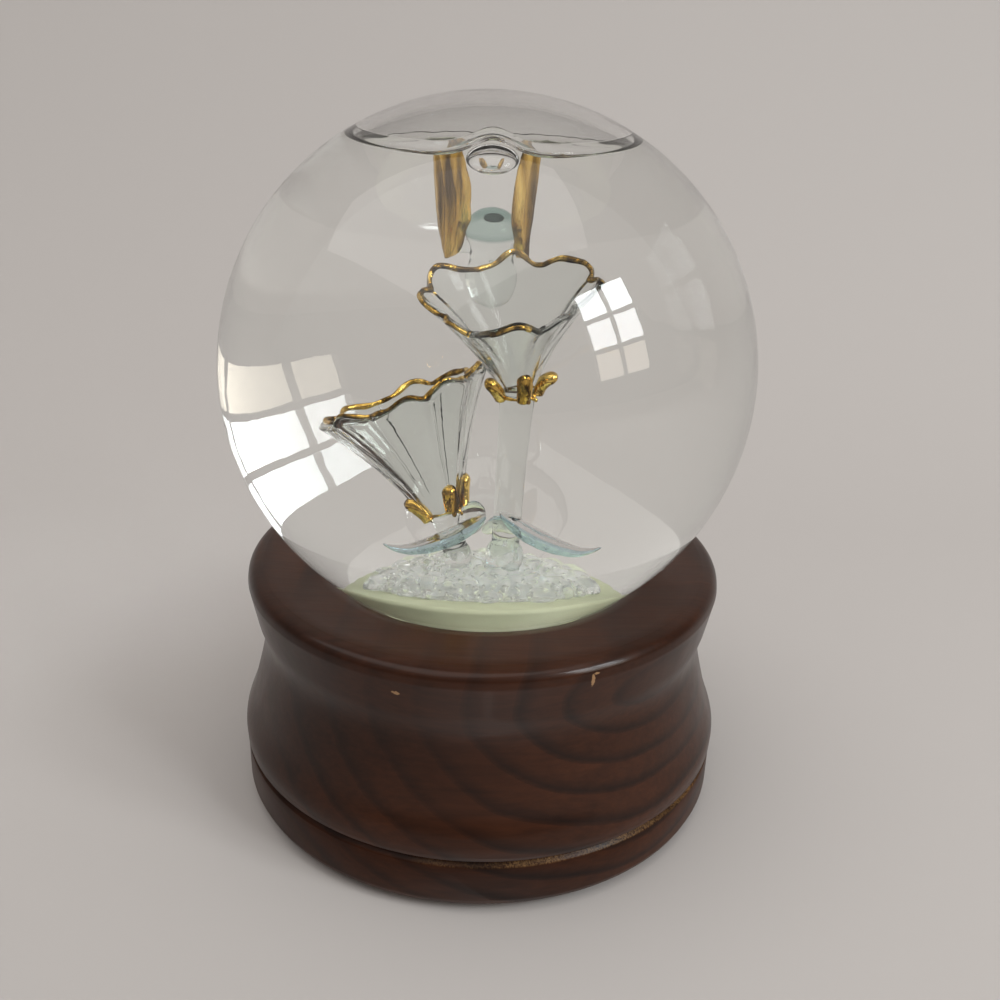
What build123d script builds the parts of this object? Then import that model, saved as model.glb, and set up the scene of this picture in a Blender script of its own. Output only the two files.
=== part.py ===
from build123d import *

import os
from math import atan2, cos, hypot, pi, sin, sqrt

# A water globe on a turned wooden base, with blown glass flowers inside and a
# wind-up musical movement in the base. Millimetres, +Z up, origin on the table
# under the middle of the base.

# ---------------------------------------------------------------- globe and plug
GLOBE_R = 50.0              # outside of the glass ball
GLASS_T = 2.0               # wall of the glass ball
MOUTH_R = 21.0              # hole at the bottom of the ball
MOUTH_LIP = 0.6             # width of the ground flat round the hole
AIR_H = 6.4                 # height of the air over the water
WATER_GAP = 0.1             # kept between the water's solid and the glass
ROOM_GAP = 0.4              # kept between it and the flowers
PLUG_SQUEEZE = 0.15         # rubber plug over the hole's radius
PLUG_H = 13.2               # the plug stands up inside the ball as a pedestal
PLUG_ROUND = 1.2
FLANGE_R = 25.0
FLANGE_T = 3.8

# ---------------------------------------------------------------- wooden base
PAD_T = 1.2                 # felt pads lift the wood off the table
PAD_R = 2.2
PAD_COUNT = 4
FOOT_ROUND = 1.7
BODY_R = 49.4               # widest turn, above the groove
RING_STEP = 0.2             # the lower ring is that much narrower
GROOVE_Z = 11.6
GROOVE_W = 1.3
GROOVE_D = 1.0
SHOULDER_Z = 16.0           # the cove starts here
COVE_R = 44.65              # waist of the cove
COVE_Z = 33.0
LIP_R = 47.2                # the top moulding
LIP_H = 3.0                 # from its widest turn up to the flat top
TOP_IN = 3.2                # from its widest turn in to the flat top
SEAT_SINK = 7.2             # the ball's mouth lies this far under the top
SEAT_GAP = 0.3              # between the wood's seat and the glass
SEAT_R = 32.4               # where the top surface runs into the seat
GLUE_W = 2.0                # gap round the plug's flange, filled with adhesive
SOCKET_FLOOR_T = 3.5
CAVITY_R = 36.0
MOVEMENT_ROOM = 21.5        # height of the cavity over the bottom cover
RECESS_R = 42.0
COVER_Z = 11.0              # underside of the bottom cover
COVER_T = 2.5
COVER_GAP = 0.3
COVER_SCREW_PCR = 39.0
COVER_SCREW_COUNT = 3
COVER_SCREW_TURN = 90.0     # heading of the first of them
SCREW_R = 1.0
SCREW_HEAD_R = 2.0
SCREW_HEAD_T = 1.1
SCREW_DEPTH = 6.5
FIT = 0.05                  # running and slip clearance on a radius
BEAD_H = 1.8                # bead of adhesive round the plug's flange

# ---------------------------------------------------------------- glass flowers
# Heights in this block are counted from the plug's top.
MOUND_R = 17.0
MOUND_TOP_Z = 4.7
MOUND_EDGE_Z = 1.9
MOUND_RIM = 2.0             # the dome's edge stands this far inside the lumps
LUMP_R = 3.4
LUMP_RING_R = 13.4
LUMP_COUNT = 9
LUMP_Z = 1.6
LUMP_TURN = 3.0
STEM_FOOT = (2.9, 0.0, 4.8)
STEM_FOOT_R = 2.6
STEM_R = 2.0
LILY_AT = (4.3, 0.0, 29.1)
LILY_LEAN = (-0.10, -0.16, 0.98)
LILY_L = 15.8
LILY_MOUTH_R = 12.3
LILY_THROAT_R = 2.6
SIDE_AT = (-5.7, 0.0, 10.9)
SIDE_LEAN = (-0.37, 0.20, 0.91)
SIDE_L = 18.4
SIDE_MOUTH_R = 11.4
SIDE_THROAT_R = 2.4
SIDE_STEM_R = 1.9
SIDE_FOOT = (-3.8, 0.0, 4.7)
PETAL_T = 0.9               # wall of a flower
FLARE = 1.35                # power of the flare from throat to mouth
LOBES = 6
FLUTE = 0.09                # share by which the flutes swell and shrink the mouth
SCALLOP_W = 8.0             # width and depth of the dips between the petals
SCALLOP_D = 1.2
RIM_H = 0.8                 # height of the gold edge
THROAT_FLOOR = 1.5
COLLAR_T = 1.0
COLLAR_R = 3.3
SPIGOT_R = 1.8
SEPAL_W = 1.5
SEPAL_T = 0.7
SEPAL_COUNT = 3
SEPAL_RISE = 3.6
SEPAL_REACH = 2.9
LEAF_L = 13.5
LEAF_W = 5.2
LEAF_T = 1.1
LEAF_DROOP = 3.0            # fall from a leaf's root to its tip
LEAF_ROOTS = ((3.4, -0.4, 9.7, -6.0), (-1.8, -2.0, 8.3, 190.0), (2.6, 0.8, 9.7, 84.0))   # place, heading
LUMP_AT = (-1.7, -0.6, 10.7)    # lump of glass that joins the two stems
LUMP_JOIN_R = 2.7
BIRD_AT = (0.0, 13.2, 47.9)
BIRD_HEAD_R = 3.1
BIRD_BODY_R = 3.7
BIRD_BODY_L = 11.0
BEAK_L = 3.2
BEAK_R = 0.7
WING_L = 17.0
WING_W = 5.6
WING_T = 0.9
WING_FOLD = 0.9             # curve of a wing across its width
WING_TURNS = {-1: -24.0, 1: 62.0}
WING_OUT = {-1: 5.6, 1: 4.3}

# ---------------------------------------------------------------- music movement
KEY_X = -11.0               # axis of the key, arbor and great wheel
KEY_Y = 4.0
PLATE_T = 2.0
PLATE_X = (-25.5, 25.8)
PLATE_Y = (-20.2, 20.2)
PLATE_CORNER = 7.0
HOUSING_R = 12.5
HOUSING_T = 1.0
HOUSING_H = 11.1
ARBOR_R = 1.5
SPRING_T = 0.45
SPRING_TURNS = 4
CROWN_TEETH = 48
CROWN_R = 14.0              # pitch radius of the great wheel's crown teeth
CROWN_FACE = 2.0
CROWN_TOOTH_W = 0.7
WHEEL_T = 1.4
WHEEL_GAP = 1.3             # from the spring housing to the wheel's web
PINION_TEETH = 12
GEAR_ADD = 0.4              # tooth above and below the pitch line of the crown pair
GEAR_DED = 0.5
PINION_W = 1.6
SHAFT_R = 0.8
DRUM_R = 6.2
DRUM_T = 0.9
DRUM_X = (5.8, 21.8)
PIN_H = 0.6
PIN_W = 0.4
TINE_COUNT = 18
TINE_T = 0.6
TINE_SLOT = 0.26
TINE_GAP = 0.1              # from the tine tips to the circle that the pins sweep
COMB_ROOT_Y = (-13.4, -9.8)
COMB_BACK_Y = -19.2
COMB_T = 1.4
COMB_SCREW_IN = (2.4, 5.4)  # from the ends of the comb
COMB_SCREW_L = 4.4
BRACKET_T = 1.0
BRACKET_W = 5.0
DRUM_GEAR_TEETH = 36
DRUM_GEAR_R = 7.2
DRUM_GEAR_T = 1.2
FINE_ADD = 0.3
FINE_DED = 0.42
MESH_GAP = 0.08
GOV_PINION_TEETH = 12
WORM_WHEEL_TEETH = 12
WORM_WHEEL_R = 2.1
WORM_WHEEL_T = 1.0
WORM_WHEEL_X = 13.0
WORM_PITCH_R = 1.4
WORM_CORE_R = 1.0
WORM_TOP_R = 1.7
WORM_STARTS = 2
WORM_L = 4.4
FRAME_X = (8.0, 18.0)
FRAME_T = 1.2
FAN_R = 3.6
FAN_H = 2.6
FAN_T = 0.3
KEY_HUB_R = 3.2
KEY_WING_R = 4.2
KEY_WING_X = 7.0
KEY_T = 2.0
KEY_Z = (5.0, 10.3)
KEY_WING_Z = 5.7

# ---------------------------------------------------------------- derived places
RING_R = BODY_R - RING_STEP
FOOT_R = RING_R - FOOT_ROUND
SOCKET_R = FLANGE_R + GLUE_W
PLATE_Z = COVER_Z + COVER_T
CAVITY_TOP_Z = PLATE_Z + MOVEMENT_ROOM
SOCKET_Z = CAVITY_TOP_Z + SOCKET_FLOOR_T
MOUTH_Z = SOCKET_Z + FLANGE_T       # the flange stands on the socket's floor
TOP_Z = MOUTH_Z + SEAT_SINK
TOP_R = LIP_R - TOP_IN
LIP_Z = TOP_Z - LIP_H
INNER_R = GLOBE_R - GLASS_T
LIP_CUT_R = MOUTH_R + MOUTH_LIP
GLOBE_Z = MOUTH_Z + sqrt(GLOBE_R ** 2 - LIP_CUT_R ** 2)
LEVEL_Z = GLOBE_Z + INNER_R - AIR_H
PLUG_TOP_Z = MOUTH_Z + PLUG_H
FLOOR_Z = PLATE_Z + PLATE_T
HOUSING_Z = FLOOR_Z + HOUSING_H
WHEEL_Z = HOUSING_Z + WHEEL_GAP
PINION_R = CROWN_R * PINION_TEETH / CROWN_TEETH
AXIS_Z = WHEEL_Z - GEAR_DED - PINION_R
PIN_R = DRUM_R + PIN_H
GOV_PINION_R = DRUM_GEAR_R * GOV_PINION_TEETH / DRUM_GEAR_TEETH
GOV_Y = KEY_Y + DRUM_GEAR_R + GOV_PINION_R + MESH_GAP
WORM_Y = GOV_Y + WORM_WHEEL_R + WORM_PITCH_R + MESH_GAP
WORM_PITCH = 2 * pi * WORM_WHEEL_R / WORM_WHEEL_TEETH
DRUM_GEAR_X = DRUM_X[1] + 0.4
BRACKET_X = (CROWN_R + KEY_X + PINION_W / 2 + 0.4, DRUM_GEAR_X + DRUM_GEAR_T + 0.4)
DOWN = (Align.CENTER, Align.CENTER, Align.MAX)
UP = (Align.CENTER, Align.CENTER, Align.MIN)


def rod(radius, start, end):
    """Round rod along Z between two heights."""
    return Pos(0, 0, start) * Cylinder(radius, end - start, align=UP)


def ring(outer, inner, start, end):
    """Tube along Z between two heights."""
    return rod(outer, start, end) - rod(inner, start - 1, end + 1)


def around(count, radius, first=0.0):
    """Places evenly spaced on a circle, each turned to face outwards."""
    step = 360 / count
    return [Rot(0, 0, first + step * k) * Pos(radius, 0, 0) for k in range(count)]


def along_x(x):
    """A frame whose Z runs along +X and whose X runs along +Y."""
    return Location(Plane(origin=(x, 0, 0), x_dir=(0, 1, 0), z_dir=(1, 0, 0)))


def spun(*outline):
    """Full turn about Z of a closed outline drawn in the XZ plane."""
    face = make_face(Wire(list(outline)))
    return revolve(Plane.XZ * face, Axis.Z)


def toothed_wheel(teeth, pitch_r, addendum, dedendum, thickness, width_share=0.42):
    """Spur wheel with straight-sided teeth, the first one on +X."""
    step = 2 * pi / teeth
    half = step * width_share / 2
    outline = []
    for k in range(teeth):
        for angle, radius in (
            (-half * 1.25, pitch_r - dedendum),
            (-half * 0.55, pitch_r + addendum),
            (half * 0.55, pitch_r + addendum),
            (half * 1.25, pitch_r - dedendum),
        ):
            turn = k * step + angle
            outline.append((radius * cos(turn), radius * sin(turn)))
    return extrude(make_face(Polyline(*outline, close=True)), thickness)


# ---------------------------------------------------------------- wooden base
def base_body():
    groove_lo = GROOVE_Z - GROOVE_W / 2
    groove_hi = GROOVE_Z + GROOVE_W / 2
    seat_r = GLOBE_R + SEAT_GAP
    seat_z = GLOBE_Z - sqrt(seat_r ** 2 - SEAT_R ** 2)
    foot_z = PAD_T + FOOT_ROUND
    groove_r = RING_R - GROOVE_D
    points = {
        "foot": (FOOT_R, PAD_T),
        "ring": (RING_R, foot_z),
        "groove_a": (RING_R, groove_lo),
        "groove_b": (groove_r, groove_lo + GROOVE_W / 4),
        "groove_c": (groove_r, groove_hi - GROOVE_W / 4),
        "body": (BODY_R, groove_hi),
        "shoulder": (BODY_R - 0.2, SHOULDER_Z),
    }
    corner = (SOCKET_R, PAD_T)
    outline = [
        Line(corner, points["foot"]),
        RadiusArc(points["foot"], points["ring"], -FOOT_ROUND * 1.02),
        Line(points["ring"], points["groove_a"]),
        Line(points["groove_a"], points["groove_b"]),
        Line(points["groove_b"], points["groove_c"]),
        Line(points["groove_c"], points["body"]),
        Line(points["body"], points["shoulder"]),
        Spline(
            points["shoulder"],
            ((BODY_R + COVE_R) / 2, SHOULDER_Z + (COVE_Z - SHOULDER_Z) * 0.37),
            (COVE_R, COVE_Z),
            ((COVE_R + LIP_R) / 2, COVE_Z + (LIP_Z - COVE_Z) * 0.5),
            (LIP_R, LIP_Z),
            tangents=[(0, 1), (0.15, 1)],
        ),
        Spline((LIP_R, LIP_Z), (LIP_R - 0.9, LIP_Z + 1.8), (TOP_R, TOP_Z), tangents=[(0, 1), (-1, 0.05)]),
        Line((TOP_R, TOP_Z), (SEAT_R, seat_z)),
        Line((SEAT_R, seat_z), (SOCKET_R, seat_z)),
        Line((SOCKET_R, seat_z), corner),
    ]
    wood = spun(*outline) + rod(SOCKET_R + 1, CAVITY_TOP_Z - 1, SOCKET_Z)
    wood -= Pos(0, 0, GLOBE_Z) * Sphere(seat_r)
    wood -= rod(CAVITY_R, 0, CAVITY_TOP_Z)
    wood -= rod(RECESS_R, 0, PLATE_Z)
    for place in around(COVER_SCREW_COUNT, COVER_SCREW_PCR, COVER_SCREW_TURN):
        wood -= place * rod(SCREW_R + FIT, PLATE_Z - 1, COVER_Z + COVER_T + SCREW_DEPTH)
    return wood


def felt_pads():
    radius = (RECESS_R + FOOT_R) / 2
    return Compound([place * rod(PAD_R, 0, PAD_T) for place in around(PAD_COUNT, radius, 45)])


def bottom_cover():
    cover = rod(RECESS_R - COVER_GAP, COVER_Z, PLATE_Z)
    cover -= Pos(KEY_X, KEY_Y, 0) * rod(ARBOR_R + 1, 0, FLOOR_Z)
    for place in around(COVER_SCREW_COUNT, COVER_SCREW_PCR, COVER_SCREW_TURN) + movement_screw_places():
        cover -= place * rod(SCREW_R + FIT, 0, FLOOR_Z)
    return cover


def screw(head_z, tip_z):
    """Slotted round-head screw driven upwards, its head under head_z."""
    head = Pos(0, 0, head_z) * Cylinder(SCREW_HEAD_R, SCREW_HEAD_T, align=DOWN)
    head -= Pos(0, 0, head_z - SCREW_HEAD_T) * Box(2 * SCREW_HEAD_R, 0.5, 0.8)
    return head + rod(SCREW_R, head_z - 0.1, tip_z)


def cover_screws():
    tip = PLATE_Z + SCREW_DEPTH - 0.3
    places = around(COVER_SCREW_COUNT, COVER_SCREW_PCR, COVER_SCREW_TURN)
    return Compound([place * screw(COVER_Z, tip) for place in places])


# ---------------------------------------------------------------- globe
def glass_globe():
    ball = Sphere(GLOBE_R) - Sphere(INNER_R)
    ball = Pos(0, 0, GLOBE_Z) * ball
    ball -= rod(MOUTH_R, 0, GLOBE_Z)
    return ball - rod(GLOBE_R, 0, MOUTH_Z)


def rubber_plug():
    stem_r = MOUTH_R + PLUG_SQUEEZE
    stem = rod(stem_r, MOUTH_Z, PLUG_TOP_Z)
    stem = fillet(stem.edges().sort_by(Axis.Z)[-1], PLUG_ROUND)
    return stem + rod(FLANGE_R, SOCKET_Z, MOUTH_Z)


def globe_adhesive():
    """Bead round the flange that glues the plug and globe into the socket."""
    return ring(SOCKET_R, FLANGE_R, SOCKET_Z, SOCKET_Z + BEAD_H)


def liquid(insides):
    """Water up to its level, hollowed by the pieces that stand in it."""
    water = Pos(0, 0, GLOBE_Z) * Sphere(INNER_R - WATER_GAP)
    water -= rod(GLOBE_R, LEVEL_Z, GLOBE_Z + GLOBE_R)
    water -= rod(LIP_CUT_R + 2, 0, MOUTH_Z + GLASS_T + WATER_GAP)
    for piece in insides:
        water -= piece
    return max(water.solids(), key=lambda solid: solid.volume)


# ---------------------------------------------------------------- glass flowers
def stem_frame(start, end):
    """A frame at start whose Z points at end, and the distance between them."""
    way = Vector(*end) - Vector(*start)
    return Location(Plane(origin=start, z_dir=way)), way.length


def lily_frame(base, lean):
    return Location(Plane(origin=base, x_dir=(1, 0, -lean[0] / lean[2]), z_dir=lean))


def flare_radius(share, throat_r, mouth_r):
    return throat_r + (mouth_r - throat_r) * share ** FLARE


def bell(length, throat_r, mouth_r, inset):
    """Solid trumpet with flutes that grow towards the mouth."""
    sections = []
    for share in (0.0, 0.25, 0.5, 0.75, 1.0, 1.2):
        radius = flare_radius(share, throat_r, mouth_r) - inset
        swell = FLUTE * share ** 2
        count = LOBES * 4
        ring_points = []
        for k in range(count):
            turn = 2 * pi * k / count
            reach = radius * (1 + swell * cos(LOBES * turn))
            ring_points.append(Vector(reach * cos(turn), reach * sin(turn), length * share))
        sections.append(Wire([Edge.make_spline(ring_points, periodic=True)]))
    return Solid.make_loft(sections)


def above_rim(length, mouth_r, drop):
    """Everything above the scalloped edge of a flower, lowered by drop."""
    over = rod(mouth_r * 2, length - drop, length * 2)
    scallop_r = (SCALLOP_W ** 2 / 4 + SCALLOP_D ** 2) / (2 * SCALLOP_D)
    for place in around(LOBES, mouth_r * 0.4, 180 / LOBES):
        over += place * Pos(0, 0, length - SCALLOP_D + scallop_r) * Rot(0, 90, 0) * Cylinder(
            scallop_r + drop, mouth_r * 1.5, align=UP
        )
    return over


def lily(length, throat_r, mouth_r):
    """A flower's glass, its gold edge and the trumpet that they fill."""
    outer = bell(length, throat_r, mouth_r, 0)
    hollow = bell(length, throat_r, mouth_r, PETAL_T) & rod(mouth_r * 2, THROAT_FLOOR, length * 2)
    wall = outer - hollow
    trim_low = above_rim(length, mouth_r, RIM_H)
    trim_high = above_rim(length, mouth_r, 0)
    glass = wall - trim_low
    edge = (wall - trim_high) & trim_low
    return glass, edge, outer - trim_high


def calyx():
    """Gold collar under a flower with sepals that curl outwards."""
    gold = ring(COLLAR_R, SPIGOT_R + FIT, -COLLAR_T, 0)
    curl_r = (SEPAL_REACH ** 2 + SEPAL_RISE ** 2) / (2 * SEPAL_RISE)
    turn = atan2(SEPAL_REACH, curl_r - SEPAL_RISE)
    root = (COLLAR_R - SEPAL_T, -COLLAR_T)

    def curl(radius):
        """One side of a sepal, from the collar to the tip."""
        middle = (root[0], root[1] + curl_r)
        turns = (0, turn / 2, turn)
        return ThreePointArc(*[(middle[0] + radius * sin(t), middle[1] - radius * cos(t)) for t in turns])

    low = curl(curl_r)
    high = curl(curl_r - SEPAL_T)
    side = make_face(Wire([low, Line(low @ 1, high @ 1), high, Line(high @ 0, low @ 0)]))
    sepal = extrude(Plane.XZ * side, SEPAL_W / 2, both=True)
    for place in around(SEPAL_COUNT, 0, -90):
        gold += place * sepal
    return gold


def glass_stem(foot, foot_r, low_r, top, high_r, flower_at, lump=None):
    """Tapered rod on a ball foot, with a spigot that enters the collar above."""
    frame, length = stem_frame(foot, top)
    stem = frame * (Cone(low_r, high_r, length, align=UP) + Sphere(foot_r))
    if lump:
        stem += lump
    stem -= flower_at * rod(COLLAR_R * 2, -COLLAR_T, COLLAR_R * 2)
    return stem + flower_at * rod(SPIGOT_R, -COLLAR_T - 0.2, -FIT)


def bent_blade(face, bend_r, thickness, middle_x):
    """A flat outline wrapped over a cylinder that lies along Y."""
    column = Pos(0, 0, -bend_r) * extrude(face, 2 * bend_r)
    tube = Cylinder(bend_r, 8 * bend_r) - Cylinder(bend_r - thickness, 8 * bend_r + 1)
    return column & (Pos(middle_x, 0, -bend_r) * Rot(90, 0, 0) * tube)


def leaves():
    """Flat glass blades that spread from the stems and droop at the tips."""
    middle = LEAF_L * 0.45
    face = make_face(
        ThreePointArc((0, 0), (middle, LEAF_W / 2), (LEAF_L, 0))
        + ThreePointArc((LEAF_L, 0), (middle, -LEAF_W / 2), (0, 0))
    )
    bend_r = (LEAF_L ** 2 + LEAF_DROOP ** 2) / (2 * LEAF_DROOP)
    blade = bent_blade(face, bend_r, LEAF_T, 0)
    return [Pos(x, y, z) * Rot(0, 0, turn) * blade for x, y, z, turn in LEAF_ROOTS]


def glass_mound(cutters):
    """Heap of melted glass lumps on top of the plug."""
    rim_r = MOUND_R - MOUND_RIM
    rise = MOUND_TOP_Z - MOUND_EDGE_Z
    dome_r = (rim_r ** 2 + rise ** 2) / (2 * rise)
    heap = Pos(0, 0, MOUND_TOP_Z - dome_r) * Rot(90, 0, 0) * Sphere(dome_r)
    heap &= rod(rim_r, -1, MOUND_TOP_Z + 1)
    for place in around(LUMP_COUNT, LUMP_RING_R, LUMP_TURN):
        heap += place * Pos(0, 0, LUMP_Z) * Rot(90, 0, 0) * Sphere(LUMP_R)
    heap -= rod(GLOBE_R, -2 * LUMP_R, 0)
    for cutter in cutters:
        heap -= cutter
    return heap


def bird_body(cutters):
    """Head, body and beak of the bird behind the big flower."""
    low = -BIRD_BODY_L
    mid = -BIRD_HEAD_R * 1.5
    outline = [
        Line((0, low), (0, BIRD_HEAD_R)),
        ThreePointArc(
            (0, BIRD_HEAD_R), (BIRD_HEAD_R * sin(pi / 4), BIRD_HEAD_R * cos(pi / 4)), (BIRD_HEAD_R, 0)
        ),
        Spline((BIRD_HEAD_R, 0), (BIRD_BODY_R, mid), (0, low), tangents=[(0, -1), (-1, -0.8)]),
    ]
    beak = Rot(97, 0, 0) * Pos(0, 0, BIRD_HEAD_R * 0.8) * Cone(BEAK_R, 0.2, BEAK_L, align=UP)
    bird = Location(BIRD_AT) * (spun(*outline) + beak) + wing_root(-1) + wing_root(1)
    for cutter in cutters:
        bird -= cutter
    return bird


def bird_wing(side):
    """Raised wing, a leaf-shaped blade that is curved across its width."""
    tip = (WING_W * 0.15, WING_L)
    face = make_face(
        Spline((0, 0), (WING_W * 0.55, WING_L * 0.45), tip, tangents=[(1, 1), (-0.4, 1)])
        + Spline(tip, (-WING_W * 0.45, WING_L * 0.4), (0, 0), tangents=[(-1, -0.6), (0.6, -1)])
    )
    bend_r = (WING_W ** 2 / 4 + WING_FOLD ** 2) / (2 * WING_FOLD)
    blade = Rot(90, 0, 0) * bent_blade(face, bend_r, WING_T, 0)
    root = (BIRD_AT[0] + side * WING_OUT[side], BIRD_AT[1] + 0.8, BIRD_AT[2] - 3.0)
    return Location(root) * Rot(0, side * 3, WING_TURNS[side]) * blade


def wing_root(side):
    """Glass shoulder between the bird's body and a wing."""
    reach = WING_OUT[side] - BIRD_HEAD_R + 1.6
    start = (BIRD_AT[0] + side * (BIRD_HEAD_R - 1.2), BIRD_AT[1] + 0.8, BIRD_AT[2] - 2.2)
    return Location(start) * Rot(0, side * 90, 0) * Cylinder(1.3, reach, align=UP)


# ---------------------------------------------------------------- music movement
def movement_screw_places():
    inset = PLATE_CORNER * 0.75
    return [
        Pos(PLATE_X[0] + inset, PLATE_Y[0] + inset, 0),
        Pos(PLATE_X[1] - inset, PLATE_Y[0] + inset, 0),
        Pos(PLATE_X[1] - 2.6, PLATE_Y[1] - inset, 0),
    ]


def comb_screw_places():
    middle = (COMB_BACK_Y + COMB_ROOT_Y[0]) / 2
    return [Pos(x, middle, 0) for x in (DRUM_X[0] + COMB_SCREW_IN[0], DRUM_X[1] - COMB_SCREW_IN[1])]


def movement_plate():
    size = (PLATE_X[1] - PLATE_X[0], PLATE_Y[1] - PLATE_Y[0])
    middle = Pos((PLATE_X[0] + PLATE_X[1]) / 2, (PLATE_Y[0] + PLATE_Y[1]) / 2, PLATE_Z)
    outline = chamfer(Rectangle(*size).vertices(), PLATE_CORNER * 0.6)
    plate = middle * extrude(outline, PLATE_T)
    plate -= Pos(KEY_X, KEY_Y, 0) * rod(ARBOR_R + FIT, 0, FLOOR_Z + 1)
    for place in movement_screw_places():
        plate -= place * rod(SCREW_R + FIT, 0, FLOOR_Z + 1)
    return plate


def movement_screws():
    return Compound([place * screw(COVER_Z, FLOOR_Z) for place in movement_screw_places()])


def spring_housing():
    cup = ring(HOUSING_R, HOUSING_R - HOUSING_T, FLOOR_Z, HOUSING_Z)
    cup += ring(HOUSING_R - 0.2, ARBOR_R + FIT, HOUSING_Z - HOUSING_T, HOUSING_Z)
    return Pos(KEY_X, KEY_Y, 0) * cup


def spiral(start_r, step, turns):
    """Flat spiral of half circles about two centres in turn."""
    arcs = []
    x, y = start_r, 0.0
    for k in range(2 * turns):
        radius = start_r + step * (k + 0.5) / 2
        side = 1 if k % 2 == 0 else -1
        end = (x - 2 * side * radius, y)
        arcs.append(ThreePointArc((x, y), (x - side * radius, y + side * radius), end))
        x, y = end
    return arcs


def mainspring():
    """Coiled strip between the arbor and the wall of its housing."""
    inner = ARBOR_R + 0.5
    outer = HOUSING_R - HOUSING_T - SPRING_T - 0.2
    step = (outer - inner) / SPRING_TURNS
    near = spiral(inner, step, SPRING_TURNS)
    far = spiral(inner + SPRING_T, step, SPRING_TURNS)
    ends = [Line(near[-1] @ 1, far[-1] @ 1), Line(far[0] @ 0, near[0] @ 0)]
    strip = extrude(make_face(Wire(near + far + ends)), HOUSING_H - HOUSING_T - 1.2)
    return Pos(KEY_X, KEY_Y, FLOOR_Z + 0.6) * strip


def winding_arbor():
    arbor = rod(ARBOR_R, KEY_Z[0] + 1.2, WHEEL_Z + WHEEL_T + 1.2)
    arbor += ring(ARBOR_R + 1, ARBOR_R - 0.2, HOUSING_Z + 0.1, WHEEL_Z)
    return Pos(KEY_X, KEY_Y, 0) * arbor


def great_wheel():
    """Wheel on the arbor with crown teeth under its edge."""
    outer = CROWN_R + CROWN_FACE / 2
    wheel = ring(outer, ARBOR_R + FIT, WHEEL_Z, WHEEL_Z + WHEEL_T)
    depth = GEAR_ADD + GEAR_DED
    for place in around(CROWN_TEETH, CROWN_R, 180 / CROWN_TEETH):
        tooth = Box(CROWN_FACE - 0.2, CROWN_TOOTH_W, depth + 0.2, align=DOWN)
        wheel += place * Pos(0, 0, WHEEL_Z + 0.2) * tooth
    return Pos(KEY_X, KEY_Y, 0) * wheel


def winding_key():
    """Butterfly key on a threaded hub."""
    plate = Rectangle(2 * KEY_WING_X, KEY_HUB_R * 1.2)
    for side in (-1, 1):
        plate += Pos(side * KEY_WING_X, 0) * Circle(KEY_WING_R)
        plate -= Pos(side * KEY_WING_X, 0) * Circle(KEY_WING_R * 0.45)
    wings = Pos(0, KEY_T / 2, KEY_WING_Z) * Rot(90, 0, 0) * extrude(plate, KEY_T)
    key = wings + rod(KEY_HUB_R, KEY_Z[0] - 1.4, KEY_Z[1])
    key -= rod(ARBOR_R + FIT, KEY_Z[0] + 1.2, KEY_Z[1] + 1)
    return Pos(KEY_X, KEY_Y, 0) * key


def pin_cylinder():
    """Brass drum with a pin for each note."""
    length = DRUM_X[1] - DRUM_X[0]
    drum = Cylinder(DRUM_R, length, align=UP) - rod(DRUM_R - DRUM_T, DRUM_T, length - DRUM_T)
    drum -= rod(SHAFT_R + FIT, -1, length + 1)
    pitch = length / TINE_COUNT
    for k in range(TINE_COUNT):
        for turn in (73 * k % 360, (73 * k + 151 + 17 * (k % 3)) % 360):
            pin = Pos(DRUM_R + PIN_H / 2 - 0.1, 0, pitch * (k + 0.5)) * Box(PIN_H + 0.1, PIN_W, PIN_W)
            drum += Rot(0, 0, turn) * pin
    return along_x(DRUM_X[0]) * Pos(KEY_Y, AXIS_Z, 0) * drum


def cylinder_shaft():
    shaft = rod(SHAFT_R, CROWN_R + KEY_X - PINION_W / 2 - 0.4, BRACKET_X[1] + BRACKET_T + 0.5)
    pinion = toothed_wheel(PINION_TEETH, PINION_R, GEAR_ADD, GEAR_DED, PINION_W)
    shaft += Pos(0, 0, CROWN_R + KEY_X - PINION_W / 2) * pinion
    return along_x(0) * Pos(KEY_Y, AXIS_Z, 0) * shaft


def cylinder_gear():
    gear = toothed_wheel(DRUM_GEAR_TEETH, DRUM_GEAR_R, FINE_ADD, FINE_DED, DRUM_GEAR_T)
    gear -= rod(SHAFT_R + FIT, -1, DRUM_GEAR_T + 1)
    return along_x(DRUM_GEAR_X) * Pos(KEY_Y, AXIS_Z, 0) * gear


def cylinder_brackets():
    """Two upright bearings that carry the cylinder's shaft."""
    height = AXIS_Z - FLOOR_Z
    plate = Pos(0, -height / 2) * Rectangle(BRACKET_W, height) + Circle(BRACKET_W / 2)
    plate -= Circle(SHAFT_R + FIT)
    uprights = []
    for x in BRACKET_X:
        uprights.append(along_x(x) * Pos(KEY_Y, AXIS_Z, 0) * extrude(plate, BRACKET_T))
    return Compound(uprights)


def comb_block():
    front = COMB_ROOT_Y[0] - 0.3
    top = AXIS_Z - COMB_T / 2
    block = Pos((DRUM_X[0] + DRUM_X[1]) / 2, (COMB_BACK_Y + front) / 2, FLOOR_Z) * Box(
        DRUM_X[1] - DRUM_X[0], front - COMB_BACK_Y, top - FLOOR_Z, align=UP
    )
    for place in comb_screw_places():
        block -= place * rod(SCREW_R + FIT, top - 4, top + 1)
    return block


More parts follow.
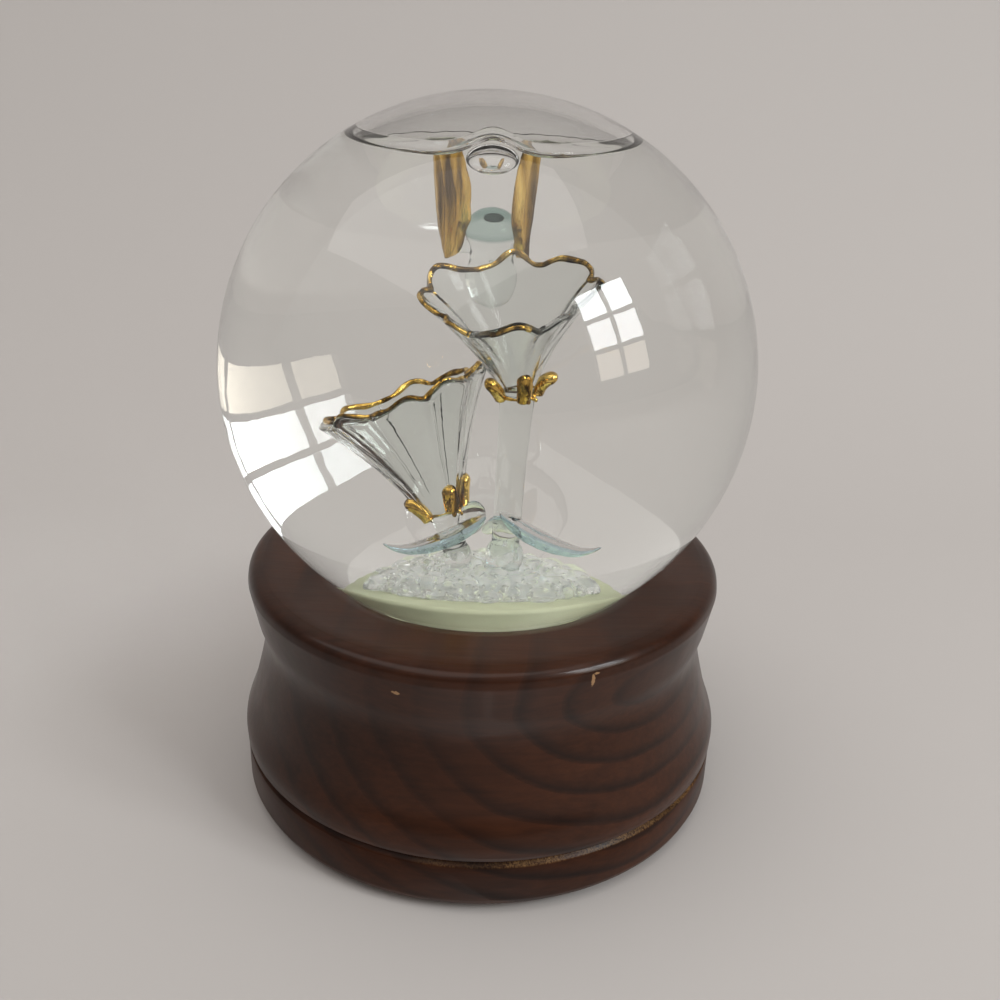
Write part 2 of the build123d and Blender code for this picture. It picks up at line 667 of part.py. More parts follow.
def comb():
    """Steel comb: a back and a tine for each track, long at the bass end."""
    tip_y = KEY_Y - PIN_R - TINE_GAP
    length = DRUM_X[1] - DRUM_X[0]
    low = AXIS_Z - COMB_T / 2
    back = Pos(DRUM_X[0], COMB_BACK_Y, low) * Box(
        length, COMB_ROOT_Y[1] - COMB_BACK_Y, COMB_T, align=(Align.MIN, Align.MIN, Align.MIN)
    )
    tines = Pos(DRUM_X[0], COMB_ROOT_Y[1] - 1, AXIS_Z - TINE_T / 2) * Box(
        length, tip_y - COMB_ROOT_Y[1] + 1, TINE_T, align=(Align.MIN, Align.MIN, Align.MIN)
    )
    steel = back + tines
    pitch = length / TINE_COUNT
    for k in range(1, TINE_COUNT):
        root = COMB_ROOT_Y[0] + (COMB_ROOT_Y[1] - COMB_ROOT_Y[0]) * k / TINE_COUNT
        slot = Pos(DRUM_X[0] + pitch * k, root, low - 1) * Box(
            TINE_SLOT, tip_y - root + 1, COMB_T + 2, align=(Align.CENTER, Align.MIN, Align.MIN)
        )
        steel -= slot
    for place in comb_screw_places():
        steel -= place * rod(SCREW_R + FIT, low - 1, low + COMB_T + 1)
    return steel


def comb_screws():
    top = AXIS_Z + COMB_T / 2
    one = Pos(0, 0, top) * Cylinder(SCREW_HEAD_R, SCREW_HEAD_T, align=UP)
    one -= Pos(0, 0, top + SCREW_HEAD_T) * Box(2 * SCREW_HEAD_R, 0.5, 0.8)
    one += rod(SCREW_R, top - COMB_SCREW_L, top + 0.1)
    return Compound([place * one for place in comb_screw_places()])


def governor_frame():
    """Cheeks, foot and bridge that carry the worm wheel and the fan."""
    middle = (FRAME_X[0] + FRAME_X[1]) / 2
    width = FRAME_X[1] - FRAME_X[0]
    front = KEY_Y + PIN_R + 0.4
    rear = PLATE_Y[1] - 0.4
    bridge_z = AXIS_Z + WORM_L / 2 + 1.2
    foot = Pos(middle, (front + rear) / 2, FLOOR_Z) * Box(width, rear - front, FRAME_T, align=UP)
    frame = foot
    for x in (FRAME_X[0] + FRAME_T / 2, FRAME_X[1] - FRAME_T / 2):
        frame += Pos(x, (front + rear) / 2, FLOOR_Z) * Box(
            FRAME_T, rear - front, bridge_z - FLOOR_Z + FRAME_T, align=UP
        )
    bridge_y = (WORM_Y - 1.6 + rear) / 2
    frame += Pos(middle, bridge_y, bridge_z) * Box(width, rear - WORM_Y + 1.6, FRAME_T, align=UP)
    frame -= along_x(FRAME_X[0] - 1) * Pos(GOV_Y, AXIS_Z, 0) * Cylinder(SHAFT_R + FIT, width + 2, align=UP)
    return frame - Pos(WORM_WHEEL_X, WORM_Y, 0) * rod(SHAFT_R + FIT, FLOOR_Z + 0.4, bridge_z + FRAME_T + 1)


def governor_gear():
    """Shaft with the pinion that the cylinder drives and the worm's wheel."""
    shaft = rod(SHAFT_R, FRAME_X[0] - 0.6, DRUM_GEAR_X + DRUM_GEAR_T + 0.5)
    pinion = toothed_wheel(GOV_PINION_TEETH, GOV_PINION_R, FINE_ADD, FINE_DED, DRUM_GEAR_T)
    shaft += Pos(0, 0, DRUM_GEAR_X) * Rot(0, 0, 180 / GOV_PINION_TEETH) * pinion
    wheel = toothed_wheel(WORM_WHEEL_TEETH, WORM_WHEEL_R, FINE_ADD, FINE_DED, WORM_WHEEL_T, 0.36)
    shaft += Pos(0, 0, WORM_WHEEL_X - WORM_WHEEL_T / 2) * wheel
    return along_x(0) * Pos(GOV_Y, AXIS_Z, 0) * shaft


def fan_worm():
    """Upright shaft with a two-start worm."""
    low = FLOOR_Z + 0.5
    high = AXIS_Z + WORM_L / 2 + 1.2 + FRAME_T + 0.6 + FAN_H
    lead = WORM_PITCH * WORM_STARTS
    half_root = WORM_PITCH * 0.21
    half_tip = WORM_PITCH * 0.12
    path = Helix(pitch=lead, height=WORM_L, radius=WORM_PITCH_R)
    inner = WORM_CORE_R - 0.15 - WORM_PITCH_R
    outer = WORM_TOP_R - WORM_PITCH_R
    corners = [(inner, -half_root), (outer, -half_tip), (outer, half_tip), (inner, half_root)]
    section = Polyline(*corners, close=True)
    start = Plane(origin=path @ 0, x_dir=(1, 0, 0), z_dir=path % 0)
    thread = sweep(start * make_face(section), path=path, is_frenet=True)
    mesh_z = WORM_PITCH / 2 - lead * 0.75
    first_z = AXIS_Z + mesh_z - WORM_PITCH * round((WORM_L / 2 + mesh_z) / WORM_PITCH)
    shaft = rod(SHAFT_R, low, high)
    shaft += rod(WORM_CORE_R, first_z - 0.4, first_z + WORM_L + 0.4)
    for k in range(WORM_STARTS):
        shaft += Pos(0, 0, first_z) * Rot(0, 0, 360 / WORM_STARTS * k) * thread
    return Pos(WORM_WHEEL_X, WORM_Y, 0) * shaft


def fan_blades():
    """Air brake on the top of the worm's shaft."""
    low = AXIS_Z + WORM_L / 2 + 1.2 + FRAME_T + 0.6
    fan = rod(SHAFT_R + 0.6, low, low + FAN_H)
    fan += Pos(0, 0, low) * Box(2 * FAN_R, FAN_T, FAN_H, align=UP)
    return Pos(WORM_WHEEL_X, WORM_Y, 0) * (fan - rod(SHAFT_R + FIT, low - 1, low + FAN_H + 1))


# ---------------------------------------------------------------- assembly
def flower_room(length, throat_r, mouth_r):
    """Plain cone that holds a flower, which the water's solid leaves free."""
    top_r = mouth_r * (1 + FLUTE) + ROOM_GAP
    return Cone(throat_r + ROOM_GAP, top_r, length + ROOM_GAP, align=UP)


def calyx_room():
    """Slightly tapered drum that holds a collar and its sepals."""
    top_r = COLLAR_R + SEPAL_REACH + ROOM_GAP
    height = COLLAR_T + SEPAL_RISE + 2 * ROOM_GAP
    return Pos(0, 0, -COLLAR_T - ROOM_GAP) * Cone(top_r - ROOM_GAP, top_r, height, align=UP)


def foot_room():
    """Cone that holds the mound and the leaves."""
    reach = max(hypot(x, y) for x, y, z, turn in LEAF_ROOTS) + LEAF_L
    height = max(z for x, y, z, turn in LEAF_ROOTS) + ROOM_GAP
    return Pos(0, 0, -WATER_GAP) * Cone(reach + ROOM_GAP, reach, height + WATER_GAP, align=UP)


def flowers():
    """The glass group, by node name, and the room that its pieces take up in the water."""
    glass, edge, trumpet = lily(LILY_L, LILY_THROAT_R, LILY_MOUTH_R)
    at = lily_frame(LILY_AT, LILY_LEAN)
    side_glass, side_edge = lily(SIDE_L, SIDE_THROAT_R, SIDE_MOUTH_R)[:2]
    side_at = lily_frame(SIDE_AT, SIDE_LEAN)
    main_stem = glass_stem(STEM_FOOT, STEM_FOOT_R, STEM_R, LILY_AT, LILY_THROAT_R, at)
    lump = Pos(*LUMP_AT) * Sphere(LUMP_JOIN_R)
    side_stem = glass_stem(SIDE_FOOT, SIDE_STEM_R * 1.1, SIDE_STEM_R, SIDE_AT, SIDE_THROAT_R, side_at, lump)
    side_stem -= main_stem
    blades = [blade - main_stem - side_stem for blade in leaves()]
    wings = {side: bird_wing(side) for side in (-1, 1)}
    pieces = {
        "main_stem": main_stem,
        "side_stem": side_stem,
        "leaves": Compound([solid for blade in blades for solid in blade.solids()]),
        "glass_mound": glass_mound([main_stem, side_stem] + blades),
        "big_lily": at * glass,
        "big_lily_rim": at * edge,
        "big_lily_calyx": at * calyx(),
        "side_lily": side_at * side_glass,
        "side_lily_rim": side_at * side_edge,
        "side_lily_calyx": side_at * calyx(),
        "bird_body": bird_body([at * trumpet] + list(wings.values())),
        "bird_wing_left": wings[-1],
        "bird_wing_right": wings[1],
    }
    close_fits = ("main_stem", "side_stem", "bird_body", "bird_wing_left", "bird_wing_right")
    rooms = [pieces[name] for name in close_fits]
    rooms += [at * flower_room(LILY_L, LILY_THROAT_R, LILY_MOUTH_R), at * calyx_room()]
    rooms += [side_at * flower_room(SIDE_L, SIDE_THROAT_R, SIDE_MOUTH_R), side_at * calyx_room(), foot_room()]
    stand = Pos(0, 0, PLUG_TOP_Z)
    return {name: stand * piece for name, piece in pieces.items()}, [stand * room for room in rooms]


def build():
    figure, rooms = flowers()
    plug = rubber_plug()
    pieces = {
        "base_body": base_body(),
        "felt_pads": felt_pads(),
        "bottom_cover": bottom_cover(),
        "cover_screws": cover_screws(),
        "glass_globe": glass_globe(),
        "rubber_plug": plug,
        "globe_adhesive": globe_adhesive(),
        "liquid": liquid([plug] + rooms),
        "movement_plate": movement_plate(),
        "movement_screws": movement_screws(),
        "spring_housing": spring_housing(),
        "mainspring": mainspring(),
        "winding_arbor": winding_arbor(),
        "great_wheel": great_wheel(),
        "winding_key": winding_key(),
        "pin_cylinder": pin_cylinder(),
        "cylinder_shaft": cylinder_shaft(),
        "cylinder_gear": cylinder_gear(),
        "cylinder_brackets": cylinder_brackets(),
        "comb_block": comb_block(),
        "comb": comb(),
        "comb_screws": comb_screws(),
        "governor_frame": governor_frame(),
        "governor_gear": governor_gear(),
        "fan_worm": fan_worm(),
        "fan_blades": fan_blades(),
    }
    pieces.update(figure)
    return pieces


os.makedirs("parts", exist_ok=True)
for name, piece in build().items():
    export_step(piece, f"parts/{name}.step")
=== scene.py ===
# %% [markdown]
# # A water globe with blown glass flowers
#
# The real object is a glass ball full of water. It stands on a turned and lacquered wooden
# base, with two glass lilies and a bird with gold wings inside it, and a wind-up musical
# movement under it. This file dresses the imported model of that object: the model gives every
# size and place, and the cells below give each piece its smooth form and its finish.

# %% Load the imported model
from math import asin, atan2, cos, degrees, exp, pi, radians, sin, sqrt, tau

import bmesh
import bpy
from mathutils import Matrix, Vector, noise


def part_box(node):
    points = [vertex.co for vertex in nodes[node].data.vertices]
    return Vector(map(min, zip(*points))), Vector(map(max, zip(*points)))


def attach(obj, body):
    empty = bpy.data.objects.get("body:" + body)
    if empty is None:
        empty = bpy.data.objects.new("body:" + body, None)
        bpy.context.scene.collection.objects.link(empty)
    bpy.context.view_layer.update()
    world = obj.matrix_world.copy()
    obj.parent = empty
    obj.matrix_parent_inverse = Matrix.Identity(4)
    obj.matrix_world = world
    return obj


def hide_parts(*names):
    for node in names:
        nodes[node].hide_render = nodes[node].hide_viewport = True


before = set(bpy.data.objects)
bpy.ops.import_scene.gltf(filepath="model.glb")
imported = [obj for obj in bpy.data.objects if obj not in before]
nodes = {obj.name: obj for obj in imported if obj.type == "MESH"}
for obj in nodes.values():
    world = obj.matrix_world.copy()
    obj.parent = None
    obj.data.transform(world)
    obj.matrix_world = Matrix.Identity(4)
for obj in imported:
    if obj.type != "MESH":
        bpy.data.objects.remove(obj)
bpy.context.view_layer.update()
MM = 0.001

# %% [markdown]
# ## The camera
#
# The object is seen from a little above, from about a hand's length away, so the lens is
# short and the ball looks larger than the base. Three turns aim the camera: down, sideways
# and a slight roll.


# %% Aim the camera
def new_object(name, data):
    """Makes an object of a mesh, a lamp or a camera and puts it in the scene."""
    item = bpy.data.objects.new(name, data)
    bpy.context.scene.collection.objects.link(item)
    return item


CAMERA_AT = Vector((1.1, -198.1, 145.6)) * MM
LENS = 38.77
LOOK_DOWN = radians(23.25)
LOOK_RIGHT = radians(0.54)
ROLL = radians(1.72)

camera_data = bpy.data.cameras.new("camera")
camera_data.lens = LENS
camera_data.clip_start = 0.01
camera = new_object("camera", camera_data)
camera.matrix_world = (
    Matrix.Translation(CAMERA_AT)
    @ Matrix.Rotation(-LOOK_RIGHT, 4, "Z")
    @ Matrix.Rotation(pi / 2 - LOOK_DOWN, 4, "X")
    @ Matrix.Rotation(ROLL, 4, "Z")
)
bpy.context.scene.camera = camera
bpy.context.scene.view_settings.view_transform = "Standard"
print("camera at", [round(v, 3) for v in CAMERA_AT])

# %% [markdown]
# ## Helpers for meshes
#
# Almost everything here is turned or blown, so most shapes start as an outline that is spun
# about the upright axis. `turned` does that with one operator and merges the seam. A piece
# is finished the same way each time: it becomes an object at the origin, gets its materials,
# rides on a body of the model and stands for the plain solids that it replaces.


# %% Spin an outline, and finish a piece
SEAM = 1e-6


def turned(outline, steps=192):
    """Spins an outline of (radius, height) points in millimetres about the Z axis."""
    bm = bmesh.new()
    row = [bm.verts.new((radius * MM, 0, height * MM)) for radius, height in outline]
    edges = [bm.edges.new(pair) for pair in zip(row, row[1:])]
    bmesh.ops.spin(
        bm, geom=row + edges, cent=(0, 0, 0), axis=(0, 0, 1), angle=tau, steps=steps, use_merge=True
    )
    bmesh.ops.remove_doubles(bm, verts=bm.verts, dist=SEAM)
    bmesh.ops.dissolve_degenerate(bm, edges=bm.edges, dist=SEAM)
    bmesh.ops.recalc_face_normals(bm, faces=bm.faces)
    return bm


def added(bm, other):
    """Moves one bmesh's faces into another."""
    mesh = bpy.data.meshes.new("part")
    other.to_mesh(mesh)
    other.free()
    bm.from_mesh(mesh)
    bpy.data.meshes.remove(mesh)


def arc(centre, radius, start, end, count):
    """Points of (radius, height) on an arc between two angles in degrees."""
    turns = [radians(start + (end - start) * k / count) for k in range(count + 1)]
    return [(centre[0] + radius * cos(turn), centre[1] + radius * sin(turn)) for turn in turns]


def smooth_run(points, count):
    """A smooth line through points, which leaves each one in the direction of its neighbours."""
    line = []
    for k in range(len(points) - 1):
        before = points[max(k - 1, 0)]
        a, b = points[k], points[k + 1]
        after = points[min(k + 2, len(points) - 1)]
        for step in range(count):
            t = step / count
            blend = (
                2 * t**3 - 3 * t**2 + 1,
                t**3 - 2 * t**2 + t,
                -2 * t**3 + 3 * t**2,
                t**3 - t**2,
            )
            line.append(
                tuple(
                    blend[0] * a[i]
                    + blend[1] * (b[i] - before[i]) / 2
                    + blend[2] * b[i]
                    + blend[3] * (after[i] - a[i]) / 2
                    for i in range(len(a))
                )
            )
    return line + [tuple(points[-1])]


def shade_smooth(mesh):
    mesh.polygons.foreach_set("use_smooth", [True] * len(mesh.polygons))


def finish_piece(name, bm, materials, replaced):
    """Makes an object of a bmesh, at the origin, and joins it to the frame."""
    mesh = bpy.data.meshes.new(name)
    bm.to_mesh(mesh)
    bm.free()
    for material in materials:
        mesh.materials.append(material)
    shade_smooth(mesh)
    piece = new_object(name, mesh)
    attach(piece, "base")
    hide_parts(*replaced)
    print(name, "faces:", len(mesh.polygons))
    return piece


# %% [markdown]
# ## Helpers for finishes
#
# Every finish is a Principled BSDF in its own material. What several finishes share is a
# node group that gives out only a value: `mottle` is a soft noise between two values, for
# roughness that is never quite even, and `streaks` is the same noise drawn out along Z, for
# metal that was brushed or turned.


# %% Start a material, and build the shared groups
def new_material(name):
    """A material, its node tree and its Principled BSDF."""
    material = bpy.data.materials.new(name)
    material.use_nodes = True
    tree = material.node_tree
    return material, tree, tree.nodes["Principled BSDF"]


def add_node(tree, kind, **values):
    """Adds a node and sets its inputs by name."""
    node = tree.nodes.new(kind)
    for key, value in values.items():
        node.inputs[key.replace("_", " ")].default_value = value
    return node


def value_group(name, inputs):
    """An empty group with Object coordinates to come in, numbers as inputs and one value out."""
    group = bpy.data.node_groups.new(name, "ShaderNodeTree")
    group.interface.new_socket("Vector", in_out="INPUT", socket_type="NodeSocketVector")
    for label, default in inputs.items():
        socket = group.interface.new_socket(label, in_out="INPUT", socket_type="NodeSocketFloat")
        socket.default_value = default
    group.interface.new_socket("Value", in_out="OUTPUT", socket_type="NodeSocketFloat")
    return group, group.nodes.new("NodeGroupInput"), group.nodes.new("NodeGroupOutput")


def build_noise(name, scale, detail, draw):
    """Soft noise, drawn out by scaling its coordinates and spread between Low and High."""
    group, inlet, outlet = value_group(name, {"Scale": scale, "Low": 0.3, "High": 0.5})
    stretch = add_node(group, "ShaderNodeMapping", Scale=draw)
    cloud = add_node(group, "ShaderNodeTexNoise", Detail=detail, Roughness=0.6)
    span = add_node(group, "ShaderNodeMapRange", From_Min=0.3, From_Max=0.7)
    group.links.new(inlet.outputs["Vector"], stretch.inputs["Vector"])
    group.links.new(stretch.outputs["Vector"], cloud.inputs["Vector"])
    group.links.new(inlet.outputs["Scale"], cloud.inputs["Scale"])
    group.links.new(cloud.outputs["Fac"], span.inputs["Value"])
    group.links.new(inlet.outputs["Low"], span.inputs["To Min"])
    group.links.new(inlet.outputs["High"], span.inputs["To Max"])
    group.links.new(span.outputs["Result"], outlet.inputs["Value"])
    return group


def use_group(tree, group, coordinates, **values):
    """Places a group in a material and gives it its coordinates and numbers."""
    node = tree.nodes.new("ShaderNodeGroup")
    node.node_tree = group
    tree.links.new(coordinates, node.inputs["Vector"])
    for key, value in values.items():
        node.inputs[key].default_value = value
    return node.outputs["Value"]


def object_place(tree, scale=(1, 1, 1), turn=(0, 0, 0), shift=(0, 0, 0)):
    """Object coordinates, drawn out, turned and moved by a Mapping node."""
    source = tree.nodes.new("ShaderNodeTexCoord")
    mapping = tree.nodes.new("ShaderNodeMapping")
    mapping.inputs["Scale"].default_value = scale
    mapping.inputs["Rotation"].default_value = turn
    mapping.inputs["Location"].default_value = shift
    tree.links.new(source.outputs["Object"], mapping.inputs["Vector"])
    return mapping.outputs["Vector"]


def bump(tree, shader, height, distance):
    """Feeds a height into the shader's normal."""
    node = add_node(tree, "ShaderNodeBump", Strength=1.0, Distance=distance)
    tree.links.new(height, node.inputs["Height"])
    tree.links.new(node.outputs["Normal"], shader.inputs["Normal"])


MOTTLE = build_noise("mottle", 200.0, 4.0, (1, 1, 1))
STREAKS = build_noise("streaks", 900.0, 3.0, (1, 1, 0.06))
print("shared groups:", [group.name for group in bpy.data.node_groups])

# %% [markdown]
# ## Glass and water
#
# Light bends at each surface by the ratio of what lies on its two sides. The ball's outer
# face meets air, so its ratio is that of glass, 1.5. Below the water line the inner face
# meets water, and there the ratio is 1.5 / 1.333. The flowers stand in water, so they have
# a low ratio too, which is why they look so faint, though their lead glass bends light a
# little more than the ball does. Only the top of the water meets air. Its sides lie against
# the glass, which already bends the light, so they let it straight through. Lamps shine
# through all of it, by a clear shader for shadow rays.

# %% Clear finishes
GLASS_IOR = 1.5
WATER_IOR = 1.333
LEAD_IOR = 1.62
LEAD_IN_WATER = LEAD_IOR / WATER_IOR


def clear_where(tree, shader, share):
    """Lets light straight through a surface, in the share that a socket gives."""
    clear = tree.nodes.new("ShaderNodeBsdfTransparent")
    mix = tree.nodes.new("ShaderNodeMixShader")
    tree.links.new(share, mix.inputs[0])
    tree.links.new(shader.outputs[0], mix.inputs[1])
    tree.links.new(clear.outputs[0], mix.inputs[2])
    tree.links.new(mix.outputs[0], tree.nodes["Material Output"].inputs["Surface"])


def clear_material(name, ior, tint=(1.0, 1.0, 1.0), ripple=0.0, ripple_scale=60.0, through=1.0):
    """Glass or water that lets the lamps through, with a faint unevenness of its surface."""
    material, tree, shader = new_material(name)
    shader.inputs["Base Color"].default_value = (*tint, 1)
    shader.inputs["Roughness"].default_value = 0.0
    shader.inputs["IOR"].default_value = ior
    shader.inputs["Transmission Weight"].default_value = through
    clear_where(tree, shader, tree.nodes.new("ShaderNodeLightPath").outputs["Is Shadow Ray"])
    if ripple:
        height = use_group(tree, MOTTLE, object_place(tree), Scale=ripple_scale, Low=0.0, High=1.0)
        bump(tree, shader, height, ripple)
    return material


GLOBE_GLASS = clear_material("globe_glass", GLASS_IOR, (0.995, 1.0, 0.995), 0.00002, 40.0)
GLOBE_WETTED = clear_material("globe_glass_wetted", GLASS_IOR / WATER_IOR, (0.99, 1.0, 0.99))
WATER_TOP = clear_material("water_surface", WATER_IOR)
FLOWER_GLASS = clear_material("flower_glass", LEAD_IN_WATER, (0.915, 0.938, 0.922), 0.00005, 110.0)
LEAF_GLASS = clear_material("leaf_glass", LEAD_IN_WATER, (0.62, 0.79, 0.86), 0.0001, 160.0)


def unseen_material(name):
    """A water face that lies against glass, which light passes unbent."""
    material, tree, shader = new_material(name)
    shader.inputs["Alpha"].default_value = 0.0
    return material


WATER_SIDE = unseen_material("water_side")
print("clear finishes:", GLOBE_GLASS.name, WATER_TOP.name, FLOWER_GLASS.name, LEAF_GLASS.name)

# %% [markdown]
# ## The ball and its water
#
# The ball is blown glass with one hole at the bottom, so its outline is two arcs joined by
# the ground lip. The inner arc is split at the ring where the air under the top ends, since
# the glass below it is wet. That air is one flat bubble. Water clings to the glass over it,
# so its floor is level, its edge is round, and it touches the glass in a smaller ring. One
# small bubble has stayed apart at the front and has pushed that ring back a little.

# %% Spin the ball
ball_lo, ball_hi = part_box("glass_globe")
BALL_R = (ball_hi.x - ball_lo.x) / 2 / MM
BALL_Z = ball_hi.z / MM - BALL_R
WALL = 2.0
MOUTH_R = 21.0
MOUTH_Z = ball_lo.z / MM
INNER_R = BALL_R - WALL
CONTACT_R = 23.0
DENT_TURN = 5.6
DENT_W = 4.6
BALL_CENTRE = Vector((0, 0, BALL_Z * MM))
MID_WALL_R = BALL_R - WALL / 2
lip_turn = degrees(asin((MOUTH_Z - BALL_Z) / BALL_R))
inner_lip_turn = -90 + degrees(asin(MOUTH_R / INNER_R))
contact_turn = 90 - degrees(asin(CONTACT_R / INNER_R))
contact_z = BALL_Z + sqrt(INNER_R**2 - CONTACT_R**2)
print("ball", round(BALL_R, 2), "centre", round(BALL_Z, 2), "dry above", round(contact_z, 2))


def dented(bm):
    """Slides the points near the air's edge inwards where the small bubble lies."""
    edge_turn = asin(CONTACT_R / INNER_R)
    for vert in bm.verts:
        way = vert.co - BALL_CENTRE
        reach = way.xy.length
        if vert.co.y >= 0 or way.z < 0.6 * INNER_R * MM or way.length > MID_WALL_R * MM:
            continue
        off = abs(atan2(reach, way.z) - edge_turn) / edge_turn
        share = exp(-((vert.co.x / (DENT_W * MM)) ** 2)) * max(0.0, 1 - off**2)
        axis = Vector((-way.y, way.x, 0)).normalized()
        vert.co = BALL_CENTRE + Matrix.Rotation(-radians(DENT_TURN) * share, 3, axis) @ way


outline = arc((0, BALL_Z), BALL_R, 90, lip_turn, 96)
outline.append((MOUTH_R, MOUTH_Z))
outline += arc((0, BALL_Z), INNER_R, inner_lip_turn, contact_turn, 84)
outline += arc((0, BALL_Z), INNER_R, contact_turn, 90, 16)[1:]
ball = turned(outline)
for face in ball.faces:
    middle = face.calc_center_median()
    inner = (middle - BALL_CENTRE).length < MID_WALL_R * MM
    face.material_index = 1 if inner and middle.z < contact_z * MM else 0
dented(ball)
finish_piece("globe", ball, [GLOBE_GLASS, GLOBE_WETTED], ["glass_globe"])

# %% Spin the water
plug_lo, plug_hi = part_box("rubber_plug")
PLUG_TOP = plug_hi.z / MM
PLUG_R = 21.15
GAP = 0.1
WATER_R = INNER_R - GAP
AIR_DEPTH = 8.9
level = BALL_Z + INNER_R - AIR_DEPTH
edge_z = BALL_Z + sqrt(WATER_R**2 - CONTACT_R**2)
foot_turn = -90 + degrees(asin((PLUG_R + GAP) / WATER_R))
edge_turn = 90 - degrees(asin(CONTACT_R / WATER_R))
outline = [(0, PLUG_TOP + GAP), (PLUG_R + GAP, PLUG_TOP + GAP)]
outline += arc((0, BALL_Z), WATER_R, foot_turn, edge_turn, 80)
air_edge = [
    (CONTACT_R, edge_z), (23.95, level + 2.15), (24.5, level + 1.45), (24.35, level + 0.75),
    (23.6, level + 0.25), (22.0, level + 0.03), (19.0, level),
]
outline += smooth_run(air_edge, 6)[1:] + [(radius, level) for radius in (15.0, 11.0, 7.0, 3.5, 0.0)]
water = turned(outline)
for face in water.faces:
    inside = min((vert.co - BALL_CENTRE).length for vert in face.verts) < (WATER_R - 0.02) * MM
    face.material_index = 0 if inside and face.calc_center_median().z > BALL_Z * MM else 1
dented(water)

# %% Blow the small bubble, whose faces look into its air
BUBBLE_R = 23.9
BUBBLE = (4.0, 3.3, 1.5)
BUBBLE_GAP = 0.25
bubble_reach = WATER_R - BUBBLE[2] - BUBBLE_GAP
lean = asin(BUBBLE_R / bubble_reach)
bubble_z = BALL_Z + bubble_reach * cos(lean)
small = bmesh.new()
bmesh.ops.create_uvsphere(
    small, u_segments=48, v_segments=24, radius=1.0,
    matrix=Matrix.Translation(Vector((0, -BUBBLE_R, bubble_z)) * MM)
    @ Matrix.Rotation(lean, 4, "X")
    @ Matrix.Diagonal((*(size * MM for size in BUBBLE), 1)),
)
bmesh.ops.recalc_face_normals(small, faces=small.faces)
bmesh.ops.reverse_faces(small, faces=small.faces)
added(water, small)
finish_piece("water", water, [WATER_TOP, WATER_SIDE], ["liquid"])

# %% [markdown]
# ## The wooden base
#
# A turner cuts the base from one block: a small foot, a lower ring, a fine groove, a wide
# body that sweeps in to a waist, and a rounded top moulding that holds the ball.

# %% Turn the base
base_lo, base_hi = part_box("base_body")
TOP_Z = base_hi.z / MM
FOOT_Z = base_lo.z / MM
BODY_R = (base_hi.x - base_lo.x) / 2 / MM
RING_R = BODY_R - 0.2
FOOT_R = 45.8
SHOULDER_Z = 16.0
COVE_R, COVE_Z = 44.65, 33.0
LIP_R, LIP_Z = 47.2, 46.5
TOP_R = 44.0
SEAT_R = 32.4
SEAT_GAP = 0.3
SEAT_STEPS = 6
SOCKET_R = 27.0
CAVITY_R, CAVITY_Z = 36.0, 35.0
RECESS_R = 42.0
RECESS_EDGE_R = RECESS_R + 0.5
cover_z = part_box("bottom_cover")[1].z / MM
flange_z = plug_lo.z / MM
seat_ball_r = BALL_R + SEAT_GAP
seat_z = BALL_Z - sqrt(seat_ball_r**2 - SEAT_R**2)
seat_start = -90 + degrees(asin(SEAT_R / seat_ball_r))
seat_end = -90 + degrees(asin(SOCKET_R / seat_ball_r))
foot_edge = [(46.8, FOOT_Z + 0.02), (47.9, FOOT_Z + 0.35), (48.7, FOOT_Z + 1.0), (RING_R, FOOT_Z + 2.2)]
groove = [
    (RING_R, 9.0), (RING_R, 10.5), (RING_R - 0.1, 10.85), (RING_R - 0.8, 11.1), (RING_R - 1.0, 11.5),
    (RING_R - 0.9, 11.85), (BODY_R - 0.35, 12.1), (BODY_R - 0.05, 12.4),
]
body_side = [
    (BODY_R, 13.2), (BODY_R - 0.2, SHOULDER_Z), (47.0, 22.3), (COVE_R, COVE_Z), (45.9, 39.75), (LIP_R, LIP_Z),
]
top_edge = [(LIP_R, LIP_Z), (46.9, 48.0), (45.9, 49.05), (TOP_R, TOP_Z)]

outline = [(RECESS_EDGE_R, FOOT_Z), (FOOT_R, FOOT_Z)] + foot_edge + groove
outline += smooth_run(body_side, 10)[1:] + smooth_run(top_edge, 6)[1:]
for k in range(1, SEAT_STEPS + 1):
    share = k / SEAT_STEPS
    outline.append((TOP_R + (SEAT_R - TOP_R) * share, TOP_Z + (seat_z - TOP_Z) * share))
outline += arc((0, BALL_Z), seat_ball_r, seat_start, seat_end, 12)[1:]
outline += [(SOCKET_R, flange_z), (0, flange_z), (0, CAVITY_Z), (CAVITY_R, CAVITY_Z), (CAVITY_R, cover_z)]
outline += [(RECESS_R, cover_z), (RECESS_R, FOOT_Z + 0.4), (RECESS_EDGE_R, FOOT_Z)]
wood_shape = turned(outline)
print("base outline points:", len(outline))

# %% [markdown]
# ## The finish of the wood
#
# The round side cuts the block's growth rings across, so they show there as long dark
# arches. Here they are rings about an axis that runs from front to back through the right
# side, near the top, and a noise bends them and lets them fade in places. Fibres and pores
# are drawn out along the grain. The stain has worn off the edge of the groove, and chips
# show bare wood. The satin lacquer is thinner near the foot.


# %% Mix and spread colours and values
def mix_colours(tree, kind, factor, first, second):
    """Mixes two colours, each of them a socket or a plain colour."""
    node = tree.nodes.new("ShaderNodeMix")
    node.data_type = "RGBA"
    node.blend_type = kind
    for label, value in (("Factor", factor), ("A", first), ("B", second)):
        if hasattr(value, "links"):
            tree.links.new(value, node.inputs[label])
        else:
            node.inputs[label].default_value = value
    return node.outputs["Result"]


def ramp(tree, factor, *stops):
    """Gives each value its colour, between stops of (place, colour)."""
    node = tree.nodes.new("ShaderNodeValToRGB")
    first, *middle, last = stops
    for element, (place, colour) in zip(node.color_ramp.elements, (first, last)):
        element.position = place
        element.color = (*colour, 1)
    for place, colour in middle:
        node.color_ramp.elements.new(place).color = (*colour, 1)
    tree.links.new(factor, node.inputs["Fac"])
    return node.outputs["Color"]


